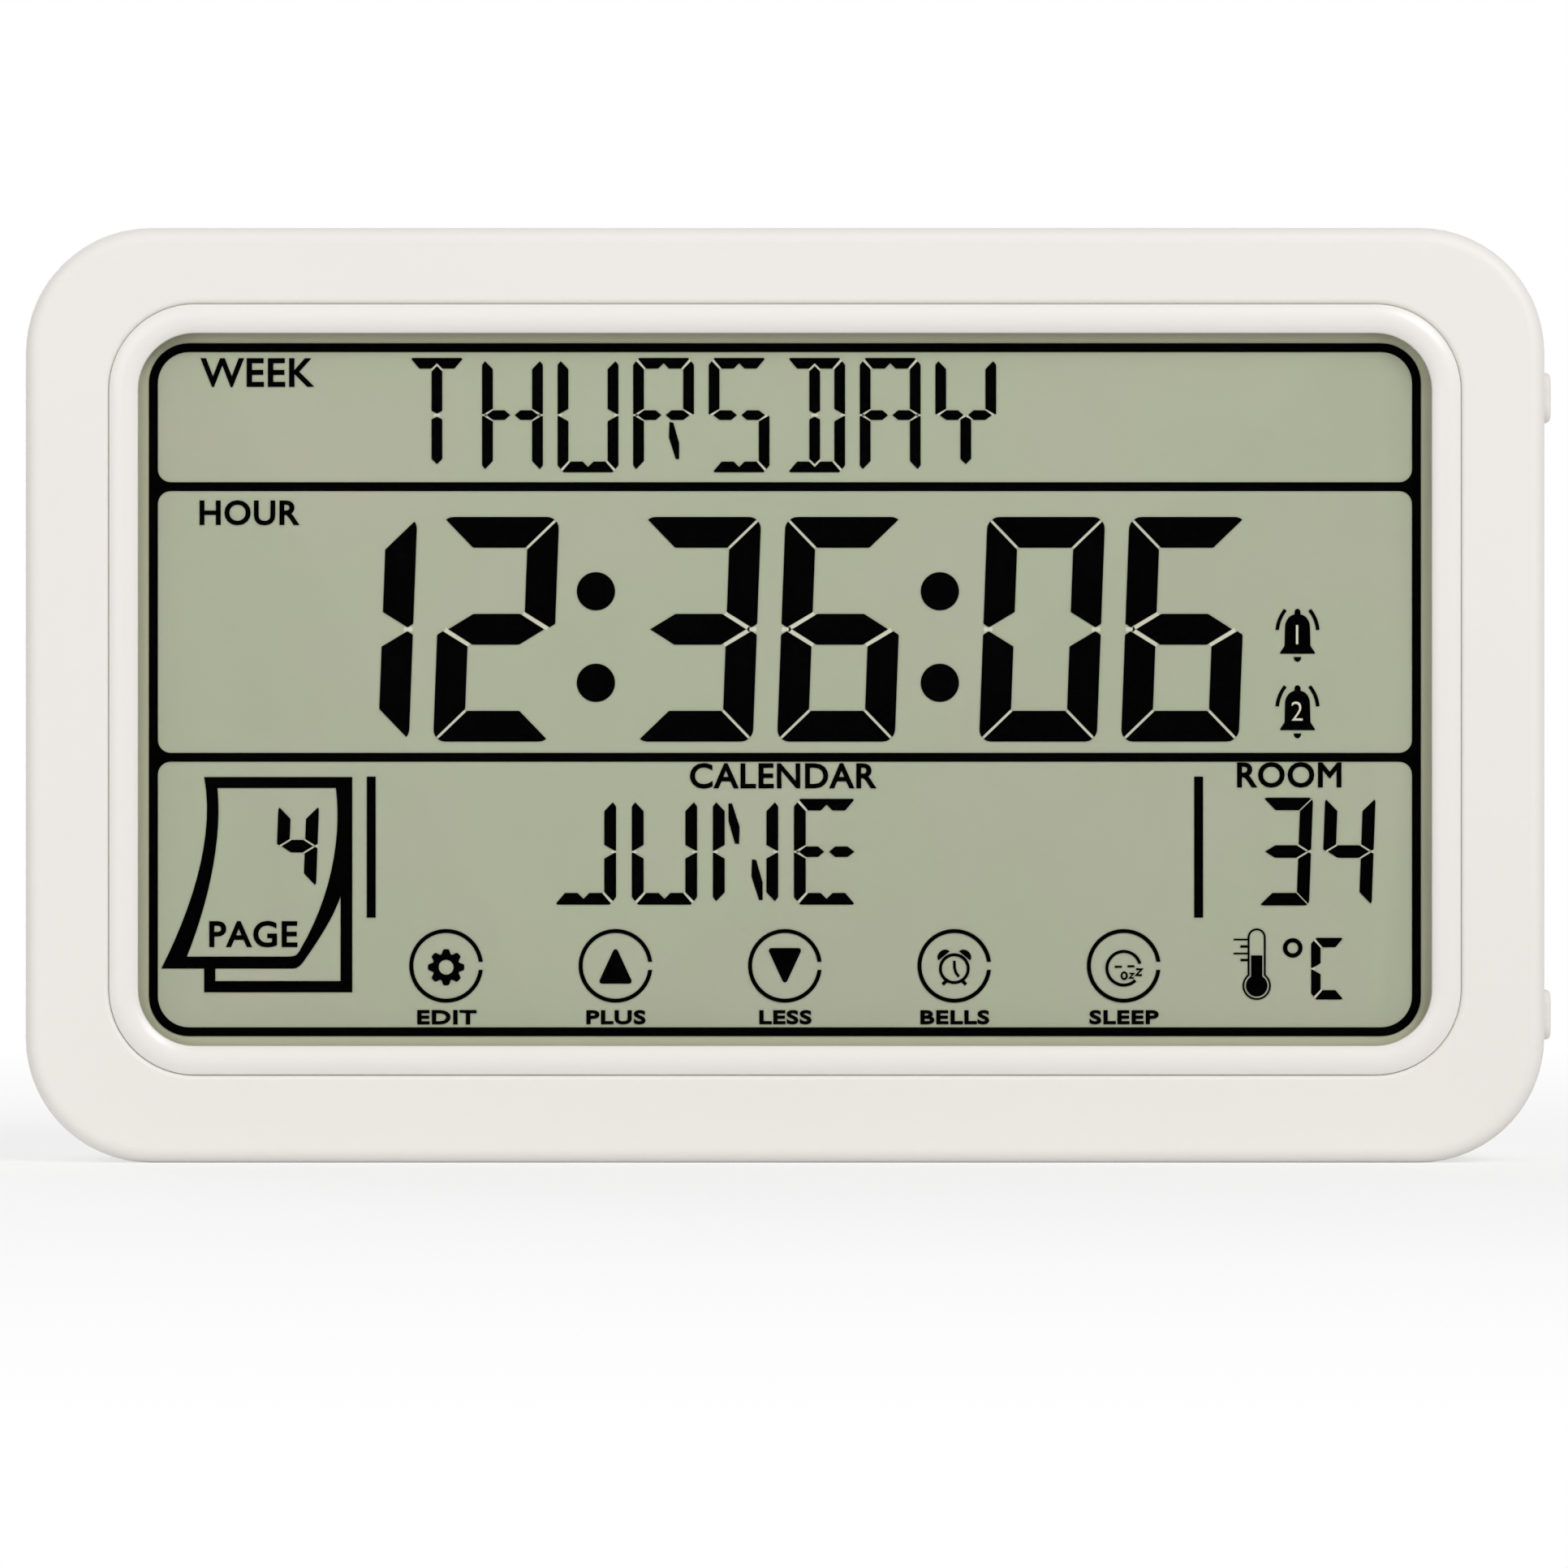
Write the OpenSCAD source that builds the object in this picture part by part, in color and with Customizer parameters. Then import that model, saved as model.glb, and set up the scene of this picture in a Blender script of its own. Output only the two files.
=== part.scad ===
// Desk weather clock: two white shells, a trim ring and a set-back window over a
// liquid-crystal display with touch keys, two side buttons, a battery bay with a
// sliding door, and a fold-out stand. Sizes are in millimetres.
// X runs to the right of the front view, Y to the back and Z up from the base.

/* [Case] */
// Width of the case across the front
case_w = 162.5; // [148:0.5:180]
// Height of the case
case_h = 100; // [90:0.5:112]
// Depth of the case from the bezel face to the back
case_d = 26; // [23.5:0.5:34]
// Corner radius of the case seen from the front
corner_r = 13.4; // [11:0.1:16]
// Wall thickness of both shells
wall = 2; // [1.8:0.1:2.2]
// Thickness of the bezel plate
bezel_t = 1.8; // [1.6:0.1:2.1]
// Depth of the front shell from the bezel face to the seam
front_d = 9.5; // [9:0.1:10.2]
// Rounding of the front edge
front_edge_r = 1.6; // [0.8:0.1:2]
// Rounding of the back edge
rear_edge_r = 3; // [2:0.1:3.4]
// Bevel on each shell that makes the seam line
seam_bevel = 0.3; // [0.1:0.05:0.5]
// Length of the locating lips across the seam
lip_l = 1.5; // [1:0.1:2]
// Thickness of the locating lips
lip_t = 1; // [0.8:0.1:1.4]
// Gap between the lips and the walls of the front shell
lip_fit = 0.1; // [0.05:0.05:0.2]

/* [Window and trim ring] */
// Distance from each side of the case to the window that shows inside the ring
view_side = 12.1; // [11:0.1:14]
// Distance from the top of the case to the window
view_top = 11.3; // [10.5:0.1:14]
// Distance from the base to the window
view_foot = 12.5; // [11.5:0.1:15]
// Corner radius of the window
view_r = 6.1; // [4.5:0.1:7]
// Visible width of the ring
ring_face = 3; // [2.6:0.1:3.2]
// Height of the ring above the bezel face
ring_proud = 0.4; // [0:0.1:1]
// Rise of the ring's rounded crown
ring_crown = 0.5; // [0.2:0.1:0.8]
// Width of the ring's lip behind the bezel
ring_lip = 0.8; // [0.5:0.1:0.9]
// Gap between the ring and the bezel, seen as a thin line
ring_gap = 0.1; // [0.05:0.05:0.3]
// Rounding of the bezel's inner edge
bezel_lip_r = 0.6; // [0.3:0.1:1]
// Depth of the window's face behind the bezel face
pane_recess = 1; // [0.8:0.1:1.6]
// Thickness of the window
pane_t = 1.2; // [1:0.1:1.8]
// Width of the window's rim that seats in the ring
pane_seat = 1.5; // [1:0.1:1.7]
// Gap round the window in its seat
pane_fit = 0.1; // [0.05:0.05:0.2]

/* [Display stack] */
// Thickness of the touch film
film_t = 0.2; // [0.1:0.05:0.3]
// Width of the touch film's tail
tail_w = 12; // [8:1:20]
// Distance of the tail from the middle, to the left
tail_x = 30; // [20:1:40]
// Gap between the touch film and the display
segment_gap = 0.2; // [0.15:0.05:0.5]
// Thickness of the dark segments
segment_t = 0.1; // [0.05:0.05:0.15]
// Thickness of the front polariser
polariser_t = 0.2; // [0.1:0.05:0.3]
// Thickness of each display glass
glass_t = 1.1; // [0.7:0.1:1.2]
// Rim of the display glass beyond the window at each side
glass_rim_x = 1.2; // [0.8:0.1:1.4]
// Rim of the display glass beyond the window at top and bottom
glass_rim_z = 3.4; // [3:0.1:3.6]
// Width of the contact ledges at top and bottom of the front glass
ledge = 2.8; // [2.4:0.1:2.9]
// Thickness of the reflector
reflector_t = 0.25; // [0.15:0.05:0.4]
// Thickness of the light guide
guide_t = 2.8; // [2.4:0.1:3]
// Room for the lamp strip beside the light guide
led_room = 2.4; // [2.2:0.1:3]
// Wall of the display holder
holder_wall = 1.4; // [1:0.1:1.6]
// Gap between the display and its holder
holder_fit = 0.2; // [0.1:0.05:0.3]
// Distance from the ends of the rubber contact strips to the sides of the glass
zebra_inset = 8.75; // [4:0.05:20]
// Height of the rubber contact strips
zebra_w = 2; // [1.6:0.1:2.2]

/* [Display figures] */
// Distance from the sides of the window to the frame line round the display
frame_side = 1.05; // [0.8:0.05:4]
// Distance from the top and foot of the window to the frame line
frame_rise = 1; // [0.6:0.05:3]
// Corner radius of the frame line
frame_r = 4.3; // [3:0.1:5]
// Width of the frame line
frame_line = 0.95; // [0.6:0.05:1.2]
// Corner radius of the panels at the dividing lines
panel_r = 1.4; // [0.8:0.1:2]
// Gap between the upper dividing line and the time figures
time_head_gap = 2.77; // [1:0.01:4]
// Gap between the time figures and the lower dividing line
time_foot_gap = 1.2; // [0.8:0.01:3]
// Height of the time figures
time_h = 24.06; // [20:0.01:25]
// Width of a time figure
time_w = 12.6; // [10:0.1:13]
// Stroke of the time figures
time_stroke = 3.3; // [2.5:0.1:3.6]
// Gap between the two figures of a pair
time_gap = 2.6; // [1.5:0.1:3]
// Gap between one pair of figures and the next
pair_gap = 9.03; // [7.5:0.01:9.2]
// Left side of the first time figure, from the window's centre
time_x = -52.42; // [-56:0.01:-50]
// Foot of the time figures, from the window's centre
time_z = -5.56; // [-6:0.01:-5]
// Diameter of the colon dots
colon_d = 4.1; // [3:0.1:4.5]
// Lean of the figures, sideways over height
lean = 0.0375; // [0:0.0005:0.06]
// Height of the temperature figures
temp_h = 11.55; // [9:0.05:12]
// Width of a temperature figure
temp_w = 5.4; // [4.5:0.1:5.8]
// Stroke of the small figures
small_stroke = 1.35; // [1:0.05:1.5]
// Height of the date figure
date_h = 8.7; // [7:0.1:9]
// Width of the date figure
date_w = 4.35; // [3.5:0.05:5]
// Distance from the right side of the frame to the temperature figures
temp_side = 17.16; // [16:0.01:20]
// Drop of the temperature figures below the lower dividing line
temp_drop = 4.32; // [3:0.01:6]
// Distance from the left side of the frame to the date figure
date_side = 13.7; // [12:0.1:16]
// Drop of the date figure below the lower dividing line
date_drop = 5.17; // [4:0.01:8]
// Distance from each side of the frame to an upright bar
bar_side = 23.8; // [22:0.1:26]
// Drop of the upright bars below the lower dividing line
bar_drop = 2.07; // [1:0.01:4]
// Length of the upright bars
bar_l = 15.1; // [10:0.1:16]
// Height of the touch keys above the foot of the frame
key_rise = 7.53; // [5:0.01:9]
// Diameter of the touch key rings
key_d = 7.9; // [6:0.1:8.4]
// Line width of the touch key rings
key_line = 0.43; // [0.3:0.01:0.6]
// Distance from one touch key to the next
key_pitch = 18.14; // [15:0.01:19]

/* [Board] */
// Thickness of the board
board_t = 1.6; // [1.2:0.1:1.6]
// Gap between the board and the side walls
board_gap = 0.8; // [0.5:0.1:1]
// Gap between the board posts and the display holder
post_gap = 1.4; // [0.8:0.1:1.6]
// Radius of the board posts
post_r = 2.3; // [1.9:0.1:2.3]
// Distance of the board posts from the side switches, towards the middle
post_lift = 9; // [6:0.1:14]
// Radius of the board screws
board_screw_r = 0.8; // [0.7:0.05:0.9]
// Length of the board screws below the head
board_screw_l = 5; // [4:0.1:5.5]
// Radius of the buzzer
buzzer_r = 6; // [5:0.1:7]
// Height of the buzzer
buzzer_h = 8.5; // [6:0.1:9]
// Place of the buzzer to the right of the middle
buzzer_x = 48; // [40:0.5:55]
// Height of the buzzer above the base
buzzer_z = 38; // [30:0.5:45]
// Radius of the thermistor's bead
bead_r = 1.3; // [1:0.1:1.6]
// Height of the thermistor's bead above the board
bead_h = 7; // [5:0.1:8]
// Place of the thermistor to the right of the middle
bead_x = 52; // [40:0.5:58]
// Drop of the thermistor below the top of the case
bead_drop = 32; // [28:0.5:38]

/* [Side buttons] */
// Height of a button
button_h = 5.4; // [4:0.1:6]
// Depth of a button along the case
button_d = 5; // [4:0.1:5.4]
// Corner radius of a button
button_r = 1.6; // [1:0.1:1.9]
// Height of a button above the side of the case
button_proud = 1.4; // [1:0.1:2]
// Travel of a button
button_travel = 0.6; // [0.3:0.05:0.7]
// Gap between a button and its hole
button_fit = 0.2; // [0.1:0.05:0.3]
// Width of the retaining flange round a button
button_flange = 0.8; // [0.5:0.1:1]
// Thickness of the retaining flange
button_flange_t = 1; // [0.8:0.1:1.2]
// Drop of the upper button below the top of the case
upper_button_drop = 17.8; // [17:0.1:25]
// Height of the lower button above the base
lower_button_z = 15.6; // [15:0.1:25]
// Height of the key switches above the board
switch_h = 6; // [5.8:0.1:7]
// Height of the switch plungers' axis above the board
switch_axis = 4; // [3.9:0.1:4.4]
// Radius of the switch plungers
plunger_r = 1.7; // [1.2:0.1:1.9]
// Length of the switch plungers outside the switch
plunger_out = 1.6; // [1.2:0.1:1.8]

/* [Battery bay] */
// Diameter of a cell
cell_d = 10.5; // [10:0.1:10.8]
// Length of a cell with its nub
cell_l = 44.5; // [40.5:0.1:49]
// Gap round the cells
cell_gap = 0.4; // [0.2:0.1:0.5]
// Length of the contact springs
spring_l = 5; // [4:0.1:5.2]
// Thickness of the contact plates
contact_t = 0.5; // [0.3:0.05:0.6]
// Wall of the battery tray
tray_wall = 1.4; // [1:0.1:1.6]
// Height of the bay's middle above the base
bay_z = 40; // [36:0.5:41]
// Thickness of the battery door
door_t = 1.6; // [1.4:0.1:1.8]
// Ledge of the door beyond the bay
door_ledge = 0.8; // [0.6:0.1:1]
// Width of the door's side tongues
tongue_w = 1.1; // [0.8:0.1:1.3]
// Thickness of the door's side tongues
tongue_t = 0.7; // [0.5:0.05:0.8]
// Gap round the door
door_fit = 0.2; // [0.15:0.05:0.3]
// Grip grooves on the door
grip_count = 5; // [3:1:8]

/* [Stand] */
// Gap between the battery door and the stand
stand_gap = 3.75; // [3.5:0.05:6]
// Length of the stand below its hinge
stand_l = 45; // [38:0.5:46]
// Thickness of the stand
stand_t = 3.2; // [2.8:0.1:3.6]
// Height of the hinge above the base
hinge_z = 57; // [56.5:0.5:64]
// Widest opening angle of the stand
stand_open = 35; // [20:1:40]
// Length of the heel above the hinge
heel_l = 4; // [3:0.1:5]
// Radius of the hinge trunnions
trunnion_r = 1.1; // [0.9:0.05:1.2]
// Length of the hinge trunnions
trunnion_l = 1.8; // [1.4:0.1:2]
// Gap between a trunnion and its hole
trunnion_fit = 0.05; // [0.02:0.01:0.1]
// Gap round the stand in its recess
stand_fit = 0.4; // [0.3:0.05:0.6]
// Wall beside the stand's recess
recess_wall = 2.6; // [2.4:0.1:2.8]
// Wall behind the stand's recess
recess_floor = 1.6; // [1.2:0.1:2]
// Radius of the stand's corners
stand_r = 4; // [2:0.1:4]
// Rounding of the stand's outer edge
stand_edge_r = 0.6; // [0.3:0.1:1]
// Rounding of the recess's edge on the back
recess_edge_r = 0.4; // [0.2:0.1:0.8]
// Width of the finger notch under the stand
notch_w = 18; // [14:1:24]
// Length of the finger notch below the stand
notch_l = 5; // [4:0.1:6]
// Corner radius of the finger notch
notch_r = 2; // [1:0.1:3]

/* [Back openings] */
// Radius of the keyhole's entry
hang_r = 4; // [3.5:0.1:4.5]
// Width of the keyhole's slot
hang_slot_w = 4.4; // [3.6:0.1:4.6]
// Rise of the keyhole's slot
hang_rise = 5; // [4:0.1:5.5]
// Drop of the keyhole's entry below the top of the case
hang_drop = 15; // [14:0.5:20]
// Number of vent slots
vent_count = 5; // [3:1:7]
// Length of a vent slot
vent_l = 14; // [8:1:18]
// Width of a vent slot
vent_w = 1.6; // [1:0.1:2]
// Distance from one vent slot to the next
vent_pitch = 3.2; // [2.8:0.1:4]
// Radius of the sound holes
sound_r = 0.9; // [0.6:0.1:1.2]
// Radius of the ring of sound holes
sound_ring_r = 4; // [3:0.1:5]

/* [Case screws] */
// Radius of the screw bosses in the front shell
boss_r = 2.6; // [2.3:0.1:2.8]
// Radius of the screw shanks
screw_r = 1.2; // [1:0.05:1.4]
// Radius of the screw heads
screw_head_r = 2.3; // [2:0.1:2.4]
// Height of the screw heads
screw_head_h = 1.7; // [1.2:0.1:2]
// Length of the screw shanks
screw_l = 9; // [8:0.1:9.5]
// Thickness of the seats under the screw heads
screw_seat = 3; // [2.5:0.1:3.5]
// Wall of the rear posts round the screw heads
screw_wall = 1.2; // [1:0.1:1.4]
// Gap between the screw bosses and the pieces beside them
boss_gap = 0.4; // [0.2:0.1:0.8]
// Gap round a screw in its pilot hole
pilot_fit = 0.05; // [0.02:0.01:0.1]
// Gap round a screw in a clearance hole
screw_fit = 0.3; // [0.2:0.05:0.4]

/* [Hidden] */
$fn = 64;
abs_white = "#ebe7e3";
lcd_green = "#abb098";
lcd_black = "#060606";
clear_grey = [0.85, 0.9, 0.88, 0.35];
board_green = "#1f5a3a";
bright_metal = "#c4c6c8";
switch_black = "#232426";
// Overshoot of every cut past the face that it breaks through
over = 1;
// Depth by which joined shapes are sunk into each other
sink = 0.5;

// Planes from front to back
y_face = -case_d / 2;
y_back = case_d / 2;
y_seam = y_face + front_d;
y_plate = y_face + bezel_t;
y_ring = y_face - ring_proud;
y_pane = y_face + pane_recess;
y_film = y_pane + pane_t;
y_lcd = y_film + film_t + segment_gap;
y_glass = y_lcd + polariser_t;
y_rear_glass = y_glass + glass_t;
y_reflector = y_rear_glass + glass_t;
y_guide = y_reflector + reflector_t;
y_board = y_guide + guide_t;
y_parts = y_board + board_t;

// Front outlines
case_mid = case_h / 2;
view_w = case_w - 2 * view_side;
view_h = case_h - view_top - view_foot;
view_mid = view_foot + view_h / 2;
side_x = case_w / 2;
inner_x = side_x - wall;
glass_w = view_w + 2 * glass_rim_x;
glass_h = view_h + 2 * glass_rim_z;
rear_glass_h = glass_h - 2 * ledge;
pane_out = pane_seat - pane_fit;
hole_out = ring_face + ring_gap;
holder_out = holder_fit + holder_wall;
glass_foot = view_mid - glass_h / 2;
holder_w = glass_w + 2 * holder_out;
holder_h = glass_h + 2 * holder_out;
board_w = 2 * (inner_x - board_gap);
board_top = view_mid + holder_h / 2;
post_x = holder_w / 2 + post_gap + post_r;
bead_z = case_h - bead_drop;

// Frame line and dividing lines, from the window's centre
frame_w = view_w - 2 * frame_side;
frame_h = view_h - 2 * frame_rise;
upper_line_z = time_z + time_h + time_head_gap + frame_line / 2;
lower_line_z = time_z - time_foot_gap - frame_line / 2;

// Corner screws sit where their bosses sink a little into the rounded corner walls
boss_reach = (corner_r - wall - boss_r + sink) / sqrt(2);
boss_x = side_x - corner_r + boss_reach;
boss_low = corner_r - boss_reach;
boss_high = case_h - boss_low;
counterbore_r = screw_head_r + screw_fit;
rear_post_r = counterbore_r + screw_wall;
y_seat = y_seam + screw_seat;

// Side buttons and their switches
button_y = y_parts + switch_axis;
upper_button_z = case_h - upper_button_drop;
flange_gap = 0.1;
switch_w = 6;
switch_l = 3.5;
switch_inset = 3.6;
switch_x = board_w / 2 - switch_inset;
plunger_in = 1;
plunger_fit = 0.05;

// Battery bay, measured from the left side of the case
bay_end = 1;
bay_out_x = -(inner_x - bay_end);
bay_in_x = bay_out_x + cell_l + spring_l + 2 * contact_t;
cell_pitch = cell_d + 2 * cell_gap;
bay_h = cell_pitch + cell_d + 2 * cell_gap;
y_door = y_back - door_t;
y_cell = y_door - cell_gap - cell_d / 2;
y_tray = y_cell - cell_d / 2 - cell_gap;
y_tray_floor = max(y_tray - tray_wall, y_parts + boss_gap);
door_half = bay_h / 2 + door_ledge;
door_lap = 2;
door_x = bay_in_x + door_lap;
rail_wall = 1.2;
rail_half = door_half + tongue_w + door_fit + rail_wall;
rail_t = 1.6;
upper_cell_z = bay_z + cell_pitch / 2;
lower_cell_z = bay_z - cell_pitch / 2;
plate_side = 9;
tab_w = 3;
nub_r = 1.9;
nub_l = 1;

// Stand and its recess
stand_w = 2 * (-door_x - stand_gap);
stand_set = 0.2;
heel_gap = 0.1;
y_stand = y_back - stand_set;
hinge_y = y_stand - stand_t / 2;
y_recess = y_stand - stand_t - stand_fit;
heel_swing = heel_l * sin(stand_open) + stand_t / 2 * cos(stand_open);
y_heel = hinge_y - heel_swing - heel_gap;
heel_top = hinge_z + sqrt(heel_l * heel_l + stand_t * stand_t / 4) + stand_fit;
stand_foot = hinge_z - stand_l;
recess_half = stand_w / 2 + stand_fit;

// Keyhole
hang_z = case_h - hang_drop;

// Box between two opposite corners
module block(x0, x1, y0, y1, z0, z1) {
  translate([x0, y0, z0]) cube([x1 - x0, y1 - y0, z1 - z0]);
}

// Flat shape drawn in X and Z, given thickness along Y
module along_y(y0, y1) {
  translate([0, y1, 0]) rotate([90, 0, 0]) linear_extrude(height = y1 - y0) children();
}

// Flat shape drawn in Y and Z, given thickness along X
module along_x(x0, x1) {
  translate([x0, 0, 0]) rotate([90, 0, 90]) linear_extrude(height = x1 - x0) children();
}

// Round rod along Y
module rod_y(x, z, r, y0, y1) {
  translate([x, y1, z]) rotate([90, 0, 0]) cylinder(r = r, h = y1 - y0);
}

// Round rod along X
module rod_x(y, z, r, x0, x1) {
  translate([x0, y, z]) rotate([0, 90, 0]) cylinder(r = r, h = x1 - x0);
}

// Flat rectangle with round corners
module rounded(w, h, r) {
  square([w - 2 * r, h], center = true);
  square([w, h - 2 * r], center = true);
  for (x = [-1, 1], z = [-1, 1]) {
    translate([x * (w / 2 - r), z * (h / 2 - r)]) circle(r);
  }
}

// Flat slot with round ends
module slot(l, w) {
  square([l - w, w], center = true);
  for (x = [-1, 1]) translate([x * (l - w) / 2, 0]) circle(d = w);
}

// Profile carried round a rounded rectangle: its first axis points outwards
// from the outline and its second along Y
module around(w, h, r) {
  turns = [[1, 1], [-1, 1], [-1, -1], [1, -1]];
  rotate([-90, 0, 0]) {
    for (i = [0:3]) {
      translate([turns[i][0] * (w / 2 - r), turns[i][1] * (h / 2 - r), 0])
        rotate([0, 0, 90 * i]) rotate_extrude(angle = 90) translate([r, 0]) children();
    }
    for (s = [0, 180]) {
      rotate([0, 0, s]) translate([w / 2, h / 2 - r, 0])
        rotate([90, 0, 0]) linear_extrude(height = h - 2 * r) children();
      rotate([0, 0, s + 90]) translate([h / 2, w / 2 - r, 0])
        rotate([90, 0, 0]) linear_extrude(height = w - 2 * r) children();
    }
  }
}

// Profile of the material that rounds an outside edge takes away
module edge_cut(e) {
  difference() {
    translate([-e, -over]) square([e + over, e + over]);
    translate([-e, e]) circle(e);
  }
}

// Profile of the material that a bevel takes away
module bevel_cut(b) {
  polygon([[-b - sink, sink], [sink, sink], [sink, -b - sink]]);
}

// Shapes placed about the middle of the case or of the window
module about_case() {
  translate([0, 0, case_mid]) children();
}

module about_view() {
  translate([0, 0, view_mid]) children();
}

// Outline of the window grown outwards on all sides
module view_outline(out) {
  rounded(view_w + 2 * out, view_h + 2 * out, view_r + out);
}

// Places of the four corner screws and of the four board posts
module at_corners() {
  for (x = [-boss_x, boss_x], z = [boss_low, boss_high]) {
    translate([x, 0, z]) children();
  }
}

module at_posts() {
  for (x = [-post_x, post_x], z = [lower_button_z + post_lift, upper_button_z - post_lift]) {
    translate([x, 0, z]) children();
  }
}

// Outer form of the front shell
module front_form() {
  about_case() difference() {
    along_y(y_face, y_seam) rounded(case_w, case_h, corner_r);
    translate([0, y_face, 0]) around(case_w, case_h, corner_r) edge_cut(front_edge_r);
    translate([0, y_seam, 0]) around(case_w, case_h, corner_r) bevel_cut(seam_bevel);
  }
}

// Outer form of the rear shell, shared with the battery door
module rear_form() {
  about_case() difference() {
    along_y(y_seam, y_back) rounded(case_w, case_h, corner_r);
    translate([0, y_back, 0]) around(case_w, case_h, corner_r)
      mirror([0, 1]) edge_cut(rear_edge_r);
    translate([0, y_seam, 0]) around(case_w, case_h, corner_r)
      mirror([0, 1]) bevel_cut(seam_bevel);
  }
}

// Hollow inside both shells
module hollow(y0, y1) {
  about_case() along_y(y0, y1)
    rounded(case_w - 2 * wall, case_h - 2 * wall, corner_r - wall);
}

module front_case() {
  pilot_r = screw_r + pilot_fit;
  pilot_l = screw_l - screw_seat + sink;
  board_pilot_r = board_screw_r + pilot_fit;
  color(abs_white) difference() {
    union() {
      difference() {
        front_form();
        hollow(y_plate, y_seam + over);
      }
      at_corners() rod_y(0, 0, boss_r, y_plate - sink, y_seam);
      at_posts() rod_y(0, 0, post_r, y_plate - sink, y_board);
    }
    about_view() along_y(y_face - over, y_plate + over) view_outline(hole_out);
    about_view() translate([0, y_face, 0])
      around(view_w + 2 * hole_out, view_h + 2 * hole_out, view_r + hole_out)
        mirror([1, 0]) edge_cut(bezel_lip_r);
    at_corners() rod_y(0, 0, pilot_r, y_seam - pilot_l, y_seam + over);
    at_posts() rod_y(0, 0, board_pilot_r, y_board - board_screw_l + board_t - sink, y_board + over);
  }
}

// Section of the trim ring, outwards from the window's edge
module ring_section() {
  half = ring_face / 2;
  crown_r = (half * half + ring_crown * ring_crown) / (2 * ring_crown);
  difference() {
    union() {
      intersection() {
        translate([0, y_ring]) square([ring_face, y_lcd - y_ring]);
        union() {
          translate([half, y_ring + crown_r]) circle(crown_r);
          translate([0, y_ring + ring_crown]) square([ring_face, y_plate - y_ring]);
        }
      }
      translate([0, y_plate]) square([ring_face + ring_lip, y_lcd - y_plate]);
    }
    translate([-over, y_pane]) square([pane_seat + over, y_lcd - y_pane + over]);
  }
}

module window_ring() {
  tail_half = tail_w / 2 + sink;
  ring_foot = view_mid - view_h / 2 - ring_face - ring_lip;
  color(abs_white) difference() {
    about_view() around(view_w, view_h, view_r) ring_section();
    block(-tail_x - tail_half, -tail_x + tail_half, y_film, y_lcd + over,
          ring_foot - over, view_mid - view_h / 2);
  }
}

module display_window() {
  color(clear_grey) about_view() along_y(y_pane, y_film) view_outline(pane_out);
}

// Sensor film with a flat tail that runs down past the glass and back to the board
module touch_film() {
  tail_z = glass_foot - holder_fit;
  tail_top = view_mid - view_h / 2 - pane_out + sink;
  color(clear_grey) {
    about_view() along_y(y_film, y_film + film_t) view_outline(pane_out);
    block(-tail_x - tail_w / 2, -tail_x + tail_w / 2, y_film, y_film + film_t,
          tail_z - film_t, tail_top);
    block(-tail_x - tail_w / 2, -tail_x + tail_w / 2, y_film, y_board,
          tail_z - film_t, tail_z);
  }
}

// Points of an arc from one angle to another
function arc_points(x, z, r, a0, a1, n = 4) =
  [for (i = [0:n]) let (a = a0 + (a1 - a0) * i / n) [x + r * cos(a), z + r * sin(a)]];

function flip_x(points, w) = [for (p = points) [w - p[0], p[1]]];
function flip_z(points, h) = [for (p = points) [p[0], h - p[1]]];
function leaned(points, h) = [for (p = points) [p[0] + lean * (p[1] - h / 2), p[1]]];

// Angle by which a bar follows a figure's round corner, up to the slanted gap
bar_turn = 39;

// Outline of the top bar of a figure and of its upper left bar
function top_bar(w, h, s) =
  let (r = 0.4 * s, g = 0.06 * s)
  concat(
    arc_points(r, h - r, r, 90 + bar_turn, 90),
    arc_points(w - r, h - r, r, 90, 90 - bar_turn),
    [[w - s - g, h - s], [s + g, h - s]]);

function upper_bar(w, h, s) =
  let (r = 0.4 * s, g = 0.06 * s, tip = 0.18 * s, bevel = 0.12 * s)
  concat(
    arc_points(r, h - r, -r, 0, -bar_turn),
    [[s, h - s - g], [s, h / 2 + s / 2 + g], [tip, h / 2 + g], [0, h / 2 + g + bevel]]);

function middle_bar(w, h, s) =
  let (tip = 0.35 * s, flat = 1.15 * s)
  [[tip, h / 2], [flat, h / 2 + s / 2], [w - flat, h / 2 + s / 2],
   [w - tip, h / 2], [w - flat, h / 2 - s / 2], [flat, h / 2 - s / 2]];

// Bars that are lit for each figure: a top, b and c right, d foot, e and f left, g middle
lit_bars = ["abcdef", "bc", "abdeg", "abcdg", "bcfg", "acdfg", "acdefg", "abc", "abcdefg", "abcdfg"];

function bar_points(bar, w, h, s) =
  bar == "a" ? top_bar(w, h, s) :
  bar == "d" ? flip_z(top_bar(w, h, s), h) :
  bar == "f" ? upper_bar(w, h, s) :
  bar == "b" ? flip_x(upper_bar(w, h, s), w) :
  bar == "e" ? flip_z(upper_bar(w, h, s), h) :
  bar == "c" ? flip_x(flip_z(upper_bar(w, h, s), h), w) :
  middle_bar(w, h, s);

// One seven-bar figure with its lower left corner at x, z
module figure(value, x, z, w, h, s) {
  translate([x, z]) for (bar = lit_bars[value]) {
    polygon(leaned(bar_points(bar, w, h, s), h));
  }
}

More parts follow.
